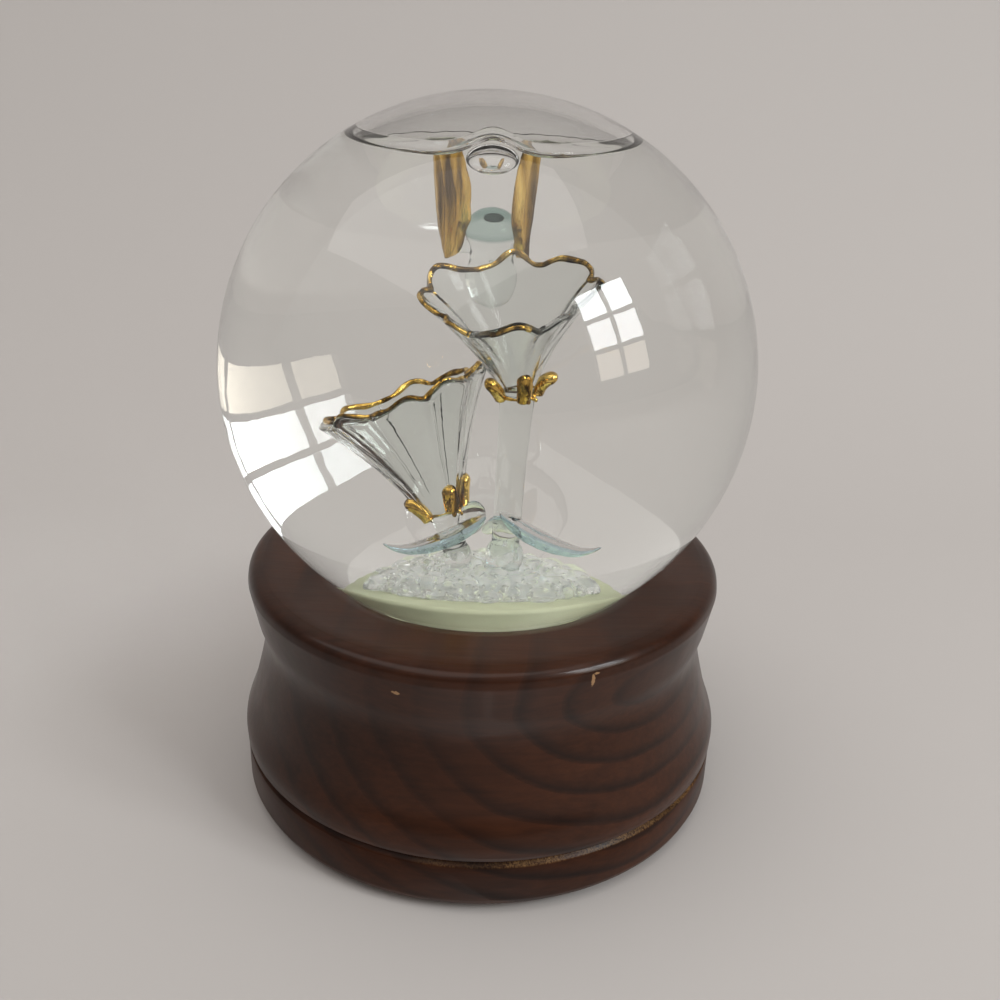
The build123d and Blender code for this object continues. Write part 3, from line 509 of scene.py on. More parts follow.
def maths(tree, kind, first, second, clamp=False):
    """Works out one value from two sockets."""
    node = tree.nodes.new("ShaderNodeMath")
    node.operation = kind
    node.use_clamp = clamp
    tree.links.new(first, node.inputs[0])
    tree.links.new(second, node.inputs[1])
    return node.outputs[0]


def spread(tree, value, **limits):
    """Moves a value from one span to another, which is 0 to 1 unless it is given."""
    node = add_node(tree, "ShaderNodeMapRange", **limits)
    tree.links.new(value, node.inputs["Value"])
    return node.outputs["Result"]


# %% Build the mask of a chip
def build_chip():
    """A mask of one small chip: 1 inside a ragged spot round a point, 0 away from it."""
    group, inlet, outlet = value_group("chip", {"X": 0.0, "Y": 0.0, "Z": 0.0, "Wide": 0.001, "High": 0.001})
    cut = group.nodes.new("ShaderNodeSeparateXYZ")
    ragged = add_node(group, "ShaderNodeTexNoise", Scale=2200.0, Detail=4.0)
    group.links.new(inlet.outputs["Vector"], cut.inputs["Vector"])
    group.links.new(inlet.outputs["Vector"], ragged.inputs["Vector"])
    squares = []
    for axis, size in (("X", "Wide"), ("Y", "Wide"), ("Z", "High")):
        off = maths(group, "SUBTRACT", cut.outputs[axis], inlet.outputs[axis])
        share = maths(group, "DIVIDE", off, inlet.outputs[size])
        squares.append(maths(group, "MULTIPLY", share, share))
    total = squares[0]
    for other in (*squares[1:], ragged.outputs["Fac"]):
        total = maths(group, "ADD", total, other)
    group.links.new(spread(group, total, From_Min=0.95, From_Max=0.80), outlet.inputs["Value"])
    return group


CHIP = build_chip()
print("a chip takes:", [socket.name for socket in CHIP.interface.items_tree if socket.in_out == "INPUT"])

# %% Finish the wood
GRAIN_TURN = (radians(10), radians(-16), radians(20))
RING_DRAW = (0.6, 0.3, 1)
RING_SHIFT = (-0.0265, 0.0, -0.051)
RING_TONES = (
    (0.0, (0.050, 0.0145, 0.0049)), (0.55, (0.044, 0.0130, 0.0045)),
    (0.86, (0.016, 0.0052, 0.0023)), (1.0, (0.036, 0.0108, 0.0039)),
)
PLAIN_WOOD = (0.040, 0.0118, 0.0041, 1)
WORN_WOOD = (0.21, 0.115, 0.045, 1)
BARE_WOOD = (0.27, 0.155, 0.075, 1)
CHIPS = (
    (-0.0140, -0.0446, 0.0438, 0.0013, 0.0006),
    (0.0192, -0.0430, 0.0462, 0.00055, 0.0022),
    (0.0199, -0.0432, 0.0475, 0.0012, 0.0004),
    (0.0313, -0.0352, 0.0340, 0.0005, 0.0004),
)


def growth_rings(tree):
    """The tone of the growth rings, which a noise has bent."""
    bend = add_node(tree, "ShaderNodeTexNoise", Scale=16.0, Detail=2.0, Roughness=0.45)
    tree.links.new(object_place(tree, (0.4, 1, 1), GRAIN_TURN), bend.inputs["Vector"])
    push = tree.nodes.new("ShaderNodeVectorMath")
    push.operation = "MULTIPLY_ADD"
    push.inputs[1].default_value = (0.012, 0.018, 0.018)
    tree.links.new(bend.outputs["Color"], push.inputs[0])
    tree.links.new(object_place(tree, RING_DRAW, shift=RING_SHIFT), push.inputs[2])
    rings = add_node(tree, "ShaderNodeTexWave", Scale=58.0, Distortion=1.4, Detail=2.0, Detail_Scale=1.2)
    rings.wave_type = "RINGS"
    rings.rings_direction = "Y"
    rings.wave_profile = "SAW"
    tree.links.new(push.outputs[0], rings.inputs["Vector"])
    return ramp(tree, rings.outputs["Fac"], *RING_TONES)


def grain(tree, draw, scale, low, high):
    """A noise between two values that is drawn out along the grain."""
    place = object_place(tree, (draw, 1, 1), GRAIN_TURN)
    return use_group(tree, MOTTLE, place, Scale=scale, Low=low, High=high)


def groove_wear(tree, cut):
    """A mask of short scratches in patches along the groove, on the right of the base."""
    ticks = use_group(tree, MOTTLE, object_place(tree, (1, 1, 0.12)), Scale=3400.0, Low=-0.3, High=1.2)
    patches = use_group(tree, MOTTLE, object_place(tree), Scale=110.0, Low=-0.1, High=1.5)
    above = spread(tree, cut.outputs["Z"], From_Min=0.0105, From_Max=0.0109)
    below = spread(tree, cut.outputs["Z"], From_Min=0.0116, From_Max=0.0112)
    right = spread(tree, cut.outputs["X"], From_Min=-0.012, From_Max=0.004)
    wear = ticks
    for mask in (patches, above, below, right):
        wear = maths(tree, "MULTIPLY", wear, mask, clamp=True)
    return wear


def wood_material():
    """Stained wood under satin lacquer, with growth rings, fibres, chips and a worn groove."""
    material, tree, shader = new_material("walnut_stain")
    plain = object_place(tree)
    cut = tree.nodes.new("ShaderNodeSeparateXYZ")
    tree.links.new(plain, cut.inputs["Vector"])
    fading = use_group(tree, MOTTLE, plain, Scale=15.0, Low=-0.1, High=1.25)
    colour = mix_colours(tree, "MIX", fading, PLAIN_WOOD, growth_rings(tree))
    cloud = grain(tree, 0.5, 20.0, 0.36, 1.1)
    fibre = grain(tree, 0.05, 1100.0, 0.72, 1.1)
    pores = grain(tree, 0.10, 420.0, 0.8, 1.06)
    for shade in (cloud, fibre, pores):
        colour = mix_colours(tree, "MULTIPLY", 1.0, colour, shade)
    colour = mix_colours(tree, "MIX", groove_wear(tree, cut), colour, WORN_WOOD)
    for x, y, z, wide, tall in CHIPS:
        chip = use_group(tree, CHIP, plain, X=x, Y=y, Z=z, Wide=wide, High=tall)
        colour = mix_colours(tree, "MIX", chip, colour, BARE_WOOD)
    tree.links.new(colour, shader.inputs["Base Color"])
    rough = use_group(tree, MOTTLE, plain, Scale=70.0, Low=0.30, High=0.42)
    tree.links.new(rough, shader.inputs["Roughness"])
    shader.inputs["Specular IOR Level"].default_value = 0.10
    shader.inputs["Coat Roughness"].default_value = 0.15
    lacquer = spread(tree, cut.outputs["Z"], From_Min=0.0120, From_Max=0.0135, To_Min=0.03, To_Max=0.32)
    tree.links.new(lacquer, shader.inputs["Coat Weight"])
    bump(tree, shader, pores, 0.00004)
    return material


WALNUT = wood_material()
finish_piece("wooden_base", wood_shape, [WALNUT], ["base_body"])

# %% [markdown]
# ## The lilies
#
# Each flower is a trumpet of clear glass, drawn out thin and pinched into waves. A ring of
# points is extruded again and again along the flower's axis, and each new ring is moved to
# its radius and its waves. A Solidify modifier then gives the wall its thickness. The gold
# is a brush of lustre on the lip, so it is a bead that follows the last ring, and where the
# brush missed, the bead stays clear.

# %% Measures of the flowers
LOBES = 8
PETAL_T = 1.0
FLARE = 1.35
AROUND = 176
PETAL_RINGS = 32
EDGE_R = 0.38
FLOWERS = {
    "big": {
        "at": (4.3, 0.0, 84.6), "lean": (-0.10, -0.20, 0.98), "length": 15.2, "mouth": 12.2,
        "throat": 2.7, "swell": 0.035, "droop": 0.5, "heart": 0.10, "lift": 2.2,
        "gild": ((2, 238), (257, 283)),
        "sepals": ((-150, 0.80, 0.55), (-76, 1.02, 0.12), (-20, 0.84, 1.15)),
    },
    "side": {
        "at": (-5.7, 0.0, 66.4), "lean": (-0.37, 0.20, 0.91), "length": 17.8, "mouth": 11.2,
        "throat": 2.4, "swell": 0.035, "droop": 0.35, "heart": 0.0, "lift": 0.0,
        "gild": ((0, 361),),
        "sepals": ((-160, 0.86, 0.7), (-64, 0.80, 0.25), (-2, 0.95, 0.25)),
    },
}


def flower_frame(at, lean):
    """A frame at a flower's collar whose Z runs along the flower."""
    up = Vector(lean).normalized()
    right = Vector((1, 0, -lean[0] / lean[2])).normalized()
    turn = Matrix((right, up.cross(right), up)).transposed().to_4x4()
    return Matrix.Translation(Vector(at) * MM) @ turn


def petal_point(flower, share, turn):
    """A point of a flower's wall, at a share of its length and an angle about its axis."""
    radius = flower["throat"] + (flower["mouth"] - flower["throat"]) * share**FLARE
    wave = cos(LOBES * (turn - pi / 2))
    front = max(0.0, -sin(turn)) ** 4
    pleat = abs(cos(LOBES * (turn - pi / 2) / 2 + 0.25 * sin(2 * turn))) ** 0.5 - 0.6
    ruffle = 0.5 * sin(5 * turn + 0.6) + 0.45 * sin(13 * turn + 1.0)
    heart = cos(3 * (turn + pi / 2))
    radius *= 1 + flower["swell"] * share**2 * (wave + ruffle) + flower["heart"] * share**2 * heart
    radius *= 1 + 0.17 * share * pleat * (1 - 0.55 * share)
    height = flower["length"] * share - share**4 * flower["droop"] * (1 + 0.9 * front) * (1.0 - wave - ruffle)
    height += flower["lift"] * share**4 * max(0.0, -sin(turn)) ** 12
    return Vector((radius * cos(turn), radius * sin(turn), height)) * MM


def by_angle(verts):
    """Verts of one ring in order about the Z axis."""
    return sorted(verts, key=lambda vert: atan2(vert.co.y, vert.co.x) % tau)


def trumpet(flower):
    """The rings of a flower's wall from throat to mouth, joined by faces."""
    bm = bmesh.new()
    bmesh.ops.create_circle(bm, segments=AROUND, radius=MM)
    edges = list(bm.edges)
    ring = by_angle(bm.verts)
    for k in range(PETAL_RINGS + 1):
        if k:
            made = bmesh.ops.extrude_edge_only(bm, edges=edges)["geom"]
            edges = [item for item in made if isinstance(item, bmesh.types.BMEdge)]
            ring = by_angle(item for item in made if isinstance(item, bmesh.types.BMVert))
        for j, vert in enumerate(ring):
            vert.co = petal_point(flower, k / PETAL_RINGS, tau * (j + 0.5) / AROUND)
    return bm


print("flowers:", list(FLOWERS), "points in a wall:", AROUND * (PETAL_RINGS + 1))


# %% A round skin along a line
def tube(points, radii, around, closed=False, wide=None, flat=1.0):
    """Rings along a line of points, bridged one by one. A flat tube is widest along wide."""
    bm = bmesh.new()
    count = len(points)
    loops = []
    side = Vector(wide) if wide else None
    for k, point in enumerate(points):
        ahead = points[(k + 1) % count] if closed or k + 1 < count else point
        behind = points[k - 1] if closed or k else point
        way = (ahead - behind).normalized()
        side = way.orthogonal() if side is None else side - way * side.dot(way)
        side.normalize()
        other = way.cross(side)
        made = bmesh.ops.create_circle(bm, segments=around, radius=MM)["verts"]
        for j, vert in enumerate(by_angle(made)):
            turn = tau * j / around
            vert.co = point + (side * cos(turn) + other * sin(turn) * flat) * radii[k]
        loops.append(list({edge for vert in made for edge in vert.link_edges}))
    pairs = list(zip(loops, loops[1:])) + ([(loops[-1], loops[0])] if closed else [])
    for first, second in pairs:
        bmesh.ops.bridge_loops(bm, edges=first + second)
    if not closed:
        bmesh.ops.holes_fill(bm, edges=loops[0] + loops[-1], sides=around)
    bmesh.ops.recalc_face_normals(bm, faces=bm.faces)
    return bm


# %% [markdown]
# Gold lustre is a film of real metal, fired on in a brush stroke. It is browner where it thins,
# so its colour and its roughness follow a noise. That noise is drawn out upright, so the dark and
# bright streaks of its colour are partly thin and thick lustre and partly painted shade and painted
# reflections.


# %% Finish the gold
# Tones for upright streaks, from near-black brown to bright gold: partly uneven lustre, partly painted shade
# and painted reflection.
LUSTRE_AND_PAINTED_GLINT_TONES = ((0.38, (0.10, 0.052, 0.010)), (0.50, (0.56, 0.34, 0.07)), (0.68, (0.98, 0.69, 0.21)))


def gold_material():
    """Mirror-bright gold, browner and duller where the brush left it thin, with upright streaks of painted
    shade and painted reflection in its colour.
    """
    material, tree, shader = new_material("gold_lustre")
    # The noise is drawn out along Z, so the tones make upright painted reflection streaks and painted dark
    # streaks.
    cloud = add_node(tree, "ShaderNodeTexNoise", Scale=520.0, Detail=2.0, Roughness=0.45)
    tree.links.new(object_place(tree, (1, 1, 0.12)), cloud.inputs["Vector"])
    tree.links.new(ramp(tree, cloud.outputs["Fac"], *LUSTRE_AND_PAINTED_GLINT_TONES), shader.inputs["Base Color"])
    shader.inputs["Metallic"].default_value = 1.0
    rough = use_group(tree, MOTTLE, object_place(tree), Scale=300.0, Low=0.05, High=0.16)
    tree.links.new(rough, shader.inputs["Roughness"])
    height = use_group(tree, MOTTLE, object_place(tree, (1, 1, 0.3)), Scale=420.0, Low=0.0, High=1.0)
    bump(tree, shader, height, 0.0003)
    return material


GOLD = gold_material()
print("gold tones:", len(LUSTRE_AND_PAINTED_GLINT_TONES))

# %% Blow the lilies and gild their edges
for label, flower in FLOWERS.items():
    place = flower_frame(flower["at"], flower["lean"])
    wall = trumpet(flower)
    bmesh.ops.recalc_face_normals(wall, faces=wall.faces)
    wall.transform(place)
    piece = finish_piece(f"{label}_lily_glass", wall, [FLOWER_GLASS], [f"{label}_lily"])
    shell = piece.modifiers.new("wall", "SOLIDIFY")
    shell.thickness = PETAL_T * MM
    shell.offset = -1
    turns = [tau * k / (2 * AROUND) for k in range(2 * AROUND)]
    lip = [petal_point(flower, 1.0, turn) for turn in turns]
    inward = [Vector((-cos(turn), -sin(turn), 0)) * PETAL_T * MM * 0.5 for turn in turns]
    gilded = [any(low <= degrees(turn) % 360 <= high for low, high in flower["gild"]) for turn in turns]
    radii = [
        (EDGE_R * (1 + 0.16 * sin(9 * turn) + 0.10 * sin(23 * turn + 1)) if gold else EDGE_R) * MM
        for turn, gold in zip(turns, gilded)
    ]
    bead = tube([point + shift for point, shift in zip(lip, inward)], radii, 10, closed=True)
    for face in bead.faces:
        middle = face.calc_center_median()
        turn = atan2(middle.y, middle.x) % tau
        face.material_index = 0 if gilded[int(turn / tau * len(turns)) % len(turns)] else 1
    bead.transform(place)
    finish_piece(f"{label}_lily_edge", bead, [GOLD, FLOWER_GLASS], [f"{label}_lily_rim"])

# %% [markdown]
# ## Collars and sepals
#
# Under each flower a thread of glass was wound once round the throat and then pulled out
# into fat sepals that curl away from the flower, all of it gilded. Each sepal is a tube that
# bends outwards as it rises and ends in a round tip. A few drops hang from the collar.

# %% Wind the collars and pull the sepals
SEPAL_STEPS = 24
SEPAL_RISE = 5.0
SEPAL_W = 1.22
THREAD_R = 0.22
DROPS = ((-60, -0.8, 0.34), (-40, -0.5, 0.42), (-30, -1.15, 0.26), (150, -0.6, 0.3))
for label, flower in FLOWERS.items():
    collar_r = flower["throat"] + 0.1
    turns = [tau * k / 72 for k in range(72)]
    ring = [
        Vector((collar_r * cos(turn), collar_r * sin(turn), -0.25 + 0.2 * sin(2 * turn))) * MM
        for turn in turns
    ]
    gold = tube(ring, [THREAD_R * MM * (1 + 0.3 * sin(5 * turn)) for turn in turns], 10, closed=True)
    for heading, grow, curl in flower["sepals"]:
        points = []
        widths = []
        for k in range(SEPAL_STEPS + 1):
            t = k / SEPAL_STEPS
            bend = 0.45 * t + curl * t**2
            slope = curl * 0.9
            out = collar_r + 0.15 + SEPAL_RISE * grow * 0.62 * bend / (1 + 0.25 * slope)
            rise = -0.4 + SEPAL_RISE * grow * (t - 0.30 * slope * t**3)
            points.append(Vector((out, 0.25 * sin(pi * t), rise)) * MM)
            swell = 0.82 + 0.16 * sin(pi * t)
            end = sqrt(max(0.0, 1 - max(0.0, (t - 0.78) / 0.22) ** 2))
            widths.append(max(0.03, SEPAL_W * swell * end) * MM)
        sepal = tube(points, widths, 16, wide=(0, 1, 0), flat=0.85)
        sepal.transform(Matrix.Rotation(radians(heading), 4, "Z"))
        added(gold, sepal)
    for heading, drop, size in DROPS:
        place = (
            Matrix.Rotation(radians(heading), 4, "Z")
            @ Matrix.Translation(Vector((collar_r + 0.1, 0, drop)) * MM)
            @ Matrix.Diagonal((1, 1, 1.3, 1))
        )
        bmesh.ops.create_icosphere(gold, subdivisions=3, radius=size * MM, matrix=place)
    gold.transform(flower_frame(flower["at"], flower["lean"]))
    finish_piece(f"{label}_lily_sepals", gold, [GOLD], [f"{label}_lily_calyx"])

# %% [markdown]
# ## Stems
#
# A stem is a solid rod, drawn thinner towards its foot and set down on a ball of melted
# glass. Its outline is spun in its own frame, and the frame then stands it in its place.

# %% Draw the stems
STEMS = {
    "main_stem": {"foot": (2.9, 0.0, 60.3), "top": "big", "low": 2.0, "high": 2.6, "ball": 2.7},
    "side_stem": {"foot": (-3.8, 0.0, 60.2), "top": "side", "low": 1.7, "high": 2.3, "ball": 2.1},
}
JOIN = {"at": (-1.9, -0.6, 65.6), "radius": 2.0, "tall": 1.25}
for name, stem in STEMS.items():
    foot = Vector(stem["foot"])
    top = Vector(FLOWERS[stem["top"]]["at"])
    length = (top - foot).length
    ball_r = stem["ball"]
    neck = degrees(asin(stem["low"] * 0.98 / ball_r))
    outline = arc((0, 0), ball_r, -90, 90 - neck, 14)
    outline += [
        (stem["low"] + (stem["high"] - stem["low"]) * share**2.2, length * share)
        for share in (0.14, 0.25, 0.4, 0.55, 0.7, 0.85, 0.97)
    ]
    outline += [(stem["high"] - 0.3, length - 0.1), (0, length - 0.05)]
    rod = turned(outline, 64)
    frame_up = (top - foot).normalized()
    rod.transform(Matrix.Translation(foot * MM) @ frame_up.to_track_quat("Z", "Y").to_matrix().to_4x4())
    if name == "side_stem":
        lump = bmesh.new()
        stretch = Matrix.Diagonal((1, 1, JOIN["tall"], 1))
        bmesh.ops.create_icosphere(
            lump, subdivisions=4, radius=JOIN["radius"] * MM,
            matrix=Matrix.Translation(Vector(JOIN["at"]) * MM) @ Matrix.Rotation(0.4, 4, "Y") @ stretch,
        )
        added(rod, lump)
    finish_piece(f"{name}_glass", rod, [FLOWER_GLASS], [name])

# %% [markdown]
# ## Leaves
#
# Three leaves of bluish glass spread from the stems like a skirt and droop at their tips. A
# ball is drawn out to a leaf's outline, then its points are dropped along its length and
# cupped across its width, and the very tip turns up again. A ball has no cut ends, so the
# leaf thins out to nothing at its root and at its tip.

# %% Spread the leaves
LEAF_L, LEAF_W, LEAF_T, LEAF_DROOP = 14.6, 6.6, 1.3, 5.0
LEAF_ROOTS = ((2.2, -0.5, 66.4, -8.0), (0.2, -1.2, 66.2, 186.0), (2.4, 0.1, 65.6, 84.0))
leaf_bm = bmesh.new()
for x, y, z, heading in LEAF_ROOTS:
    blade = bmesh.new()
    bmesh.ops.create_uvsphere(blade, u_segments=40, v_segments=56, radius=1.0)
    for vert in blade.verts:
        along = min(1.0, max(0.0, 0.5 + 0.5 * vert.co.z))
        ring = max(1e-6, sqrt(max(0.0, 1 - vert.co.z**2)))
        across, deep = vert.co.x / ring, vert.co.y / ring
        outline = sin(pi * along**0.62) if 0 < along < 1 else 0.0
        half = LEAF_W / 2 * outline**0.7
        thick = LEAF_T / 2 * outline**0.4
        flip = 1.1 * max(0.0, (along - 0.72) / 0.28) ** 2
        drop = LEAF_DROOP * (1 - (1 - along) ** 1.8) ** 1.1 - flip
        cup = (-0.9 * across**2 + 0.15 * cos(9 * across)) * outline
        vert.co = Vector((LEAF_L * along, half * across, cup - drop + thick * deep)) * MM
    bmesh.ops.recalc_face_normals(blade, faces=blade.faces)
    blade.transform(Matrix.Translation(Vector((x, y, z)) * MM) @ Matrix.Rotation(radians(heading), 4, "Z"))
    added(leaf_bm, blade)
finish_piece("leaf_blades", leaf_bm, [LEAF_GLASS], ["leaves"])

# %% [markdown]
# ## The mound
#
# The flowers stand in a heap of crushed glass that was melted together, with much air caught
# in it. Many small balls are scattered over a low dome, and a voxel Remesh melts them into
# one skin. The caught air is small balls inside, whose faces are turned into the hollow.


# %% Melt shapes together, and set others inside
def melt(piece, voxel, rounds):
    """Melts a piece's overlapping shapes into one skin, and softens it."""
    skin = piece.modifiers.new("melt", "REMESH")
    skin.mode = "VOXEL"
    skin.voxel_size = voxel * MM
    soften = piece.modifiers.new("soften", "SMOOTH")
    soften.factor = 0.5
    soften.iterations = rounds
    view = bpy.context.evaluated_depsgraph_get()
    made = bpy.data.meshes.new_from_object(piece.evaluated_get(view))
    piece.modifiers.clear()
    piece.data = made
    shade_smooth(made)
    print(piece.name, "melted, faces:", len(made.polygons))


def put_inside(piece, inner, finish):
    """Adds closed shapes to a finished piece, with a finish of their own."""
    for face in inner.faces:
        face.material_index = 1
        face.smooth = True
    whole = bmesh.new()
    whole.from_mesh(piece.data)
    added(whole, inner)
    whole.to_mesh(piece.data)
    whole.free()
    while len(piece.data.materials) < 2:
        piece.data.materials.append(finish)
    print(piece.name, "with what lies in it, faces:", len(piece.data.polygons))


# %% Measure the mound
MOUND_R, MOUND_TOP = 16.6, 59.0
MOUND_BACK, MOUND_DEEP = 1.2, 0.90
MOUND_VOXEL = 0.36
CORE_R = 15.0
LUMPS, POCKETS = 96, 170
GOLDEN_TURN = pi * (3 - sqrt(5))
MOUND_GLASS = clear_material("mound_glass", LEAD_IN_WATER, (0.965, 0.985, 0.97), through=0.92)
AIR_POCKET = clear_material("air_pocket", GLASS_IOR)
rise = MOUND_TOP - PLUG_TOP


def mound_height(share):
    """Height of the mound over the plug at a share of its radius."""
    return rise * (0.52 + 0.48 * (1 - share**2.6))


def mound_point(reach, turn, height):
    """A point of the mound, which is less deep than wide and stands back a little."""
    return Vector((reach * cos(turn), MOUND_BACK + reach * MOUND_DEEP * sin(turn), height)) * MM


print("mound height over the plug:", round(rise, 2))

# %% Melt the mound
heap = bmesh.new()
bmesh.ops.create_uvsphere(
    heap, u_segments=64, v_segments=32, radius=1.0,
    matrix=Matrix.Translation(Vector((0, MOUND_BACK, PLUG_TOP + 0.4)) * MM)
    @ Matrix.Diagonal((CORE_R * MM, CORE_R * MOUND_DEEP * MM, (rise - 1.2) * MM, 1)),
)
noise.seed_set(7)
for k in range(LUMPS):
    share = sqrt((k + 0.5) / LUMPS)
    turn = GOLDEN_TURN * k
    wobble = noise.noise(Vector((k * 0.73, k * 0.37, 1.5)))
    size = (1.7 + 1.1 * wobble) * (1.0 + 0.15 * share**3)
    at = mound_point((MOUND_R - 1.9) * share, turn, PLUG_TOP + mound_height(share) - 0.7 * size)
    stretch = Matrix.Diagonal((1.0 + 0.5 * wobble, 1.0, 0.85, 1))
    bmesh.ops.create_icosphere(
        heap, subdivisions=2, radius=size * MM,
        matrix=Matrix.Translation(at) @ Matrix.Rotation(turn * 1.7, 4, "Z") @ stretch,
    )
bmesh.ops.bisect_plane(
    heap, geom=heap.verts[:] + heap.edges[:] + heap.faces[:], plane_co=(0, 0, (PLUG_TOP + 0.15) * MM),
    plane_no=(0, 0, -1), clear_outer=True,
)
bmesh.ops.holes_fill(heap, edges=[edge for edge in heap.edges if edge.is_boundary], sides=0)
bmesh.ops.recalc_face_normals(heap, faces=heap.faces)
mound = finish_piece("mound_of_glass", heap, [MOUND_GLASS, AIR_POCKET], ["glass_mound"])
melt(mound, MOUND_VOXEL, rounds=6)

# %% Catch the air in the mound
pockets = bmesh.new()
for k in range(POCKETS):
    share = sqrt((k + 0.5) / POCKETS)
    turn = GOLDEN_TURN * k + 1.0
    depth = 0.5 + 0.5 * noise.noise(Vector((k * 0.61, 2.5, k * 0.19)))
    size = 0.32 + 0.5 * max(0.0, noise.noise(Vector((k * 0.91, k * 0.13, 7.5))) + 0.25)
    height = PLUG_TOP + 0.9 + max(0.0, mound_height(share) - 2.2) * (0.35 + 0.65 * depth)
    at = mound_point((MOUND_R - 2.4) * share, turn, height)
    bmesh.ops.create_icosphere(
        pockets, subdivisions=1, radius=size * MM, matrix=Matrix.Translation(at)
    )
bmesh.ops.recalc_face_normals(pockets, faces=pockets.faces)
bmesh.ops.reverse_faces(pockets, faces=pockets.faces)
put_inside(mound, pockets, AIR_POCKET)

# %% [markdown]
# ## The bird
#
# Behind the flowers a small bird lifts two gold wings. Its body, beak and shoulders are
# melted together by a voxel Remesh, as glass is in a flame. It is clear glass, and its head
# is blue-green with a dark bead in its crown. A wing is a grid that is narrowed to a long
# leaf, curved across its width and combed into shallow feathers.

# %% Measure the bird and tint its glass
BIRD_AT = Vector((0.0, 13.2, 103.4))
HEAD_R, BIRD_R, BIRD_L = 3.1, 3.7, 11.0
HEAD_WIDE = 1.22
BIRD_VOXEL = 0.2
BIRD_TINTS = (
    (0.0, (0.95, 0.98, 0.97)), (0.12, (0.90, 0.94, 0.93)), (0.26, (0.26, 0.40, 0.37)),
    (0.5, (0.40, 0.57, 0.53)), (1.0, (0.44, 0.62, 0.58)),
)


def bird_material():
    """Clear glass that turns blue-green over the bird's head."""
    material = clear_material("bird_glass", LEAD_IN_WATER, ripple=0.00004, ripple_scale=120.0)
    tree = material.node_tree
    cut = tree.nodes.new("ShaderNodeSeparateXYZ")
    tree.links.new(object_place(tree), cut.inputs["Vector"])
    fade = spread(tree, cut.outputs["Z"], From_Min=(BIRD_AT.z - 1.1) * MM, From_Max=(BIRD_AT.z + 2.2) * MM)
    tree.links.new(ramp(tree, fade, *BIRD_TINTS), tree.nodes["Principled BSDF"].inputs["Base Color"])
    return material


print("bird at", list(BIRD_AT), "length", BIRD_L)

# %% Shape the bird
outline = [(HEAD_WIDE * radius, z) for radius, z in arc((0, 0), HEAD_R, 90, -20, 20)]
neck_and_back = [(3.3, -1.4), (2.9, -2.6), (3.2, -4.4), (BIRD_R, -6.8), (2.5, -9.8), (0.0, -BIRD_L)]
outline += smooth_run(neck_and_back, 6)[1:]
body = turned(outline, 64)
spot = bmesh.new()
bmesh.ops.create_icosphere(
    spot, subdivisions=3, radius=0.95 * MM,
    matrix=Matrix.Translation(Vector((0.2, -0.9, 1.9)) * MM) @ Matrix.Diagonal((1.4, 1, 0.55, 1)),
)
SPOT_GLASS = clear_material("dark_bead", LEAD_IN_WATER, (0.10, 0.14, 0.13))
beak = tube(
    [Vector((0, -2.9 - 0.3 * k, -2.3 - 0.22 * k)) * MM for k in range(8)],
    [0.7 * MM * (1 - k / 8.5) for k in range(8)], 14,
)
added(body, beak)
WINGS = {"left": (-1, -28.0, 5.5), "right": (1, 66.0, 3.7)}
SHOULDER_R = 0.9
for side, turn, out in WINGS.values():
    line = [Vector((side * (1.6 + (out - 1.9) * k / 4), 0.8, -2.2 - 0.1 * k)) * MM for k in range(5)]
    added(body, tube(line, [SHOULDER_R * MM] * len(line), 16))
for shape in (body, spot):
    shape.transform(Matrix.Translation(BIRD_AT * MM))
bird = finish_piece("bird_in_glass", body, [bird_material(), SPOT_GLASS], ["bird_body"])
melt(bird, BIRD_VOXEL, rounds=8)
put_inside(bird, spot, SPOT_GLASS)

# %% Press the wings
WING_L, WING_W, WING_T = 17.0, 5.8, 0.8
for label, (side, turn, out) in WINGS.items():
    blade = bmesh.new()
    bmesh.ops.create_grid(blade, x_segments=28, y_segments=64, size=0.5)
    for vert in blade.verts:
        along = vert.co.y + 0.5
        across = vert.co.x * 2
        half = WING_W / 2 * (0.06 + 0.94 * sin(pi * (0.03 + 0.84 * along**0.85)) ** 0.75)
        ragged = 0.20 * sin(8 * pi * along) * max(0.0, across) * (1 - along)
        fold = 1.5 * (1 - across**2) + 0.26 * cos(3.5 * pi * across + 1.2 * along) * sin(pi * along)
        bow = 0.9 * sin(pi * along) - 0.3
        vert.co = Vector((half * across + ragged - side * bow, -fold - 0.8 * along**2, WING_L * along)) * MM
    bmesh.ops.solidify(blade, geom=blade.faces[:], thickness=WING_T * MM)
    bmesh.ops.recalc_face_normals(blade, faces=blade.faces)
    root = BIRD_AT + Vector((side * out, 0.8, -3.0))
    blade.transform(
        Matrix.Translation(root * MM)
        @ Matrix.Rotation(radians(side * 3), 4, "Y")
        @ Matrix.Rotation(radians(turn), 4, "Z")
    )
    finish_piece(f"bird_gold_wing_{label}", blade, [GOLD], [f"bird_wing_{label}"])

# %% [markdown]
# ## The rubber plug
#
# The plug closes the ball and stands up inside it as a cream pedestal.


# %% Mould the plug
def rubber_material():
    """Cream rubber that is darker in patches."""
    material, tree, shader = new_material("plug_rubber")
    cloud = add_node(tree, "ShaderNodeTexNoise", Scale=90.0, Detail=3.0)
    tree.links.new(object_place(tree), cloud.inputs["Vector"])
    tone = ramp(tree, cloud.outputs["Fac"], (0.0, (0.36, 0.385, 0.25)), (1.0, (0.52, 0.54, 0.37)))
    tree.links.new(tone, shader.inputs["Base Color"])
    rough = use_group(tree, MOTTLE, object_place(tree), Scale=150.0, Low=0.45, High=0.6)
    tree.links.new(rough, shader.inputs["Roughness"])
    return material


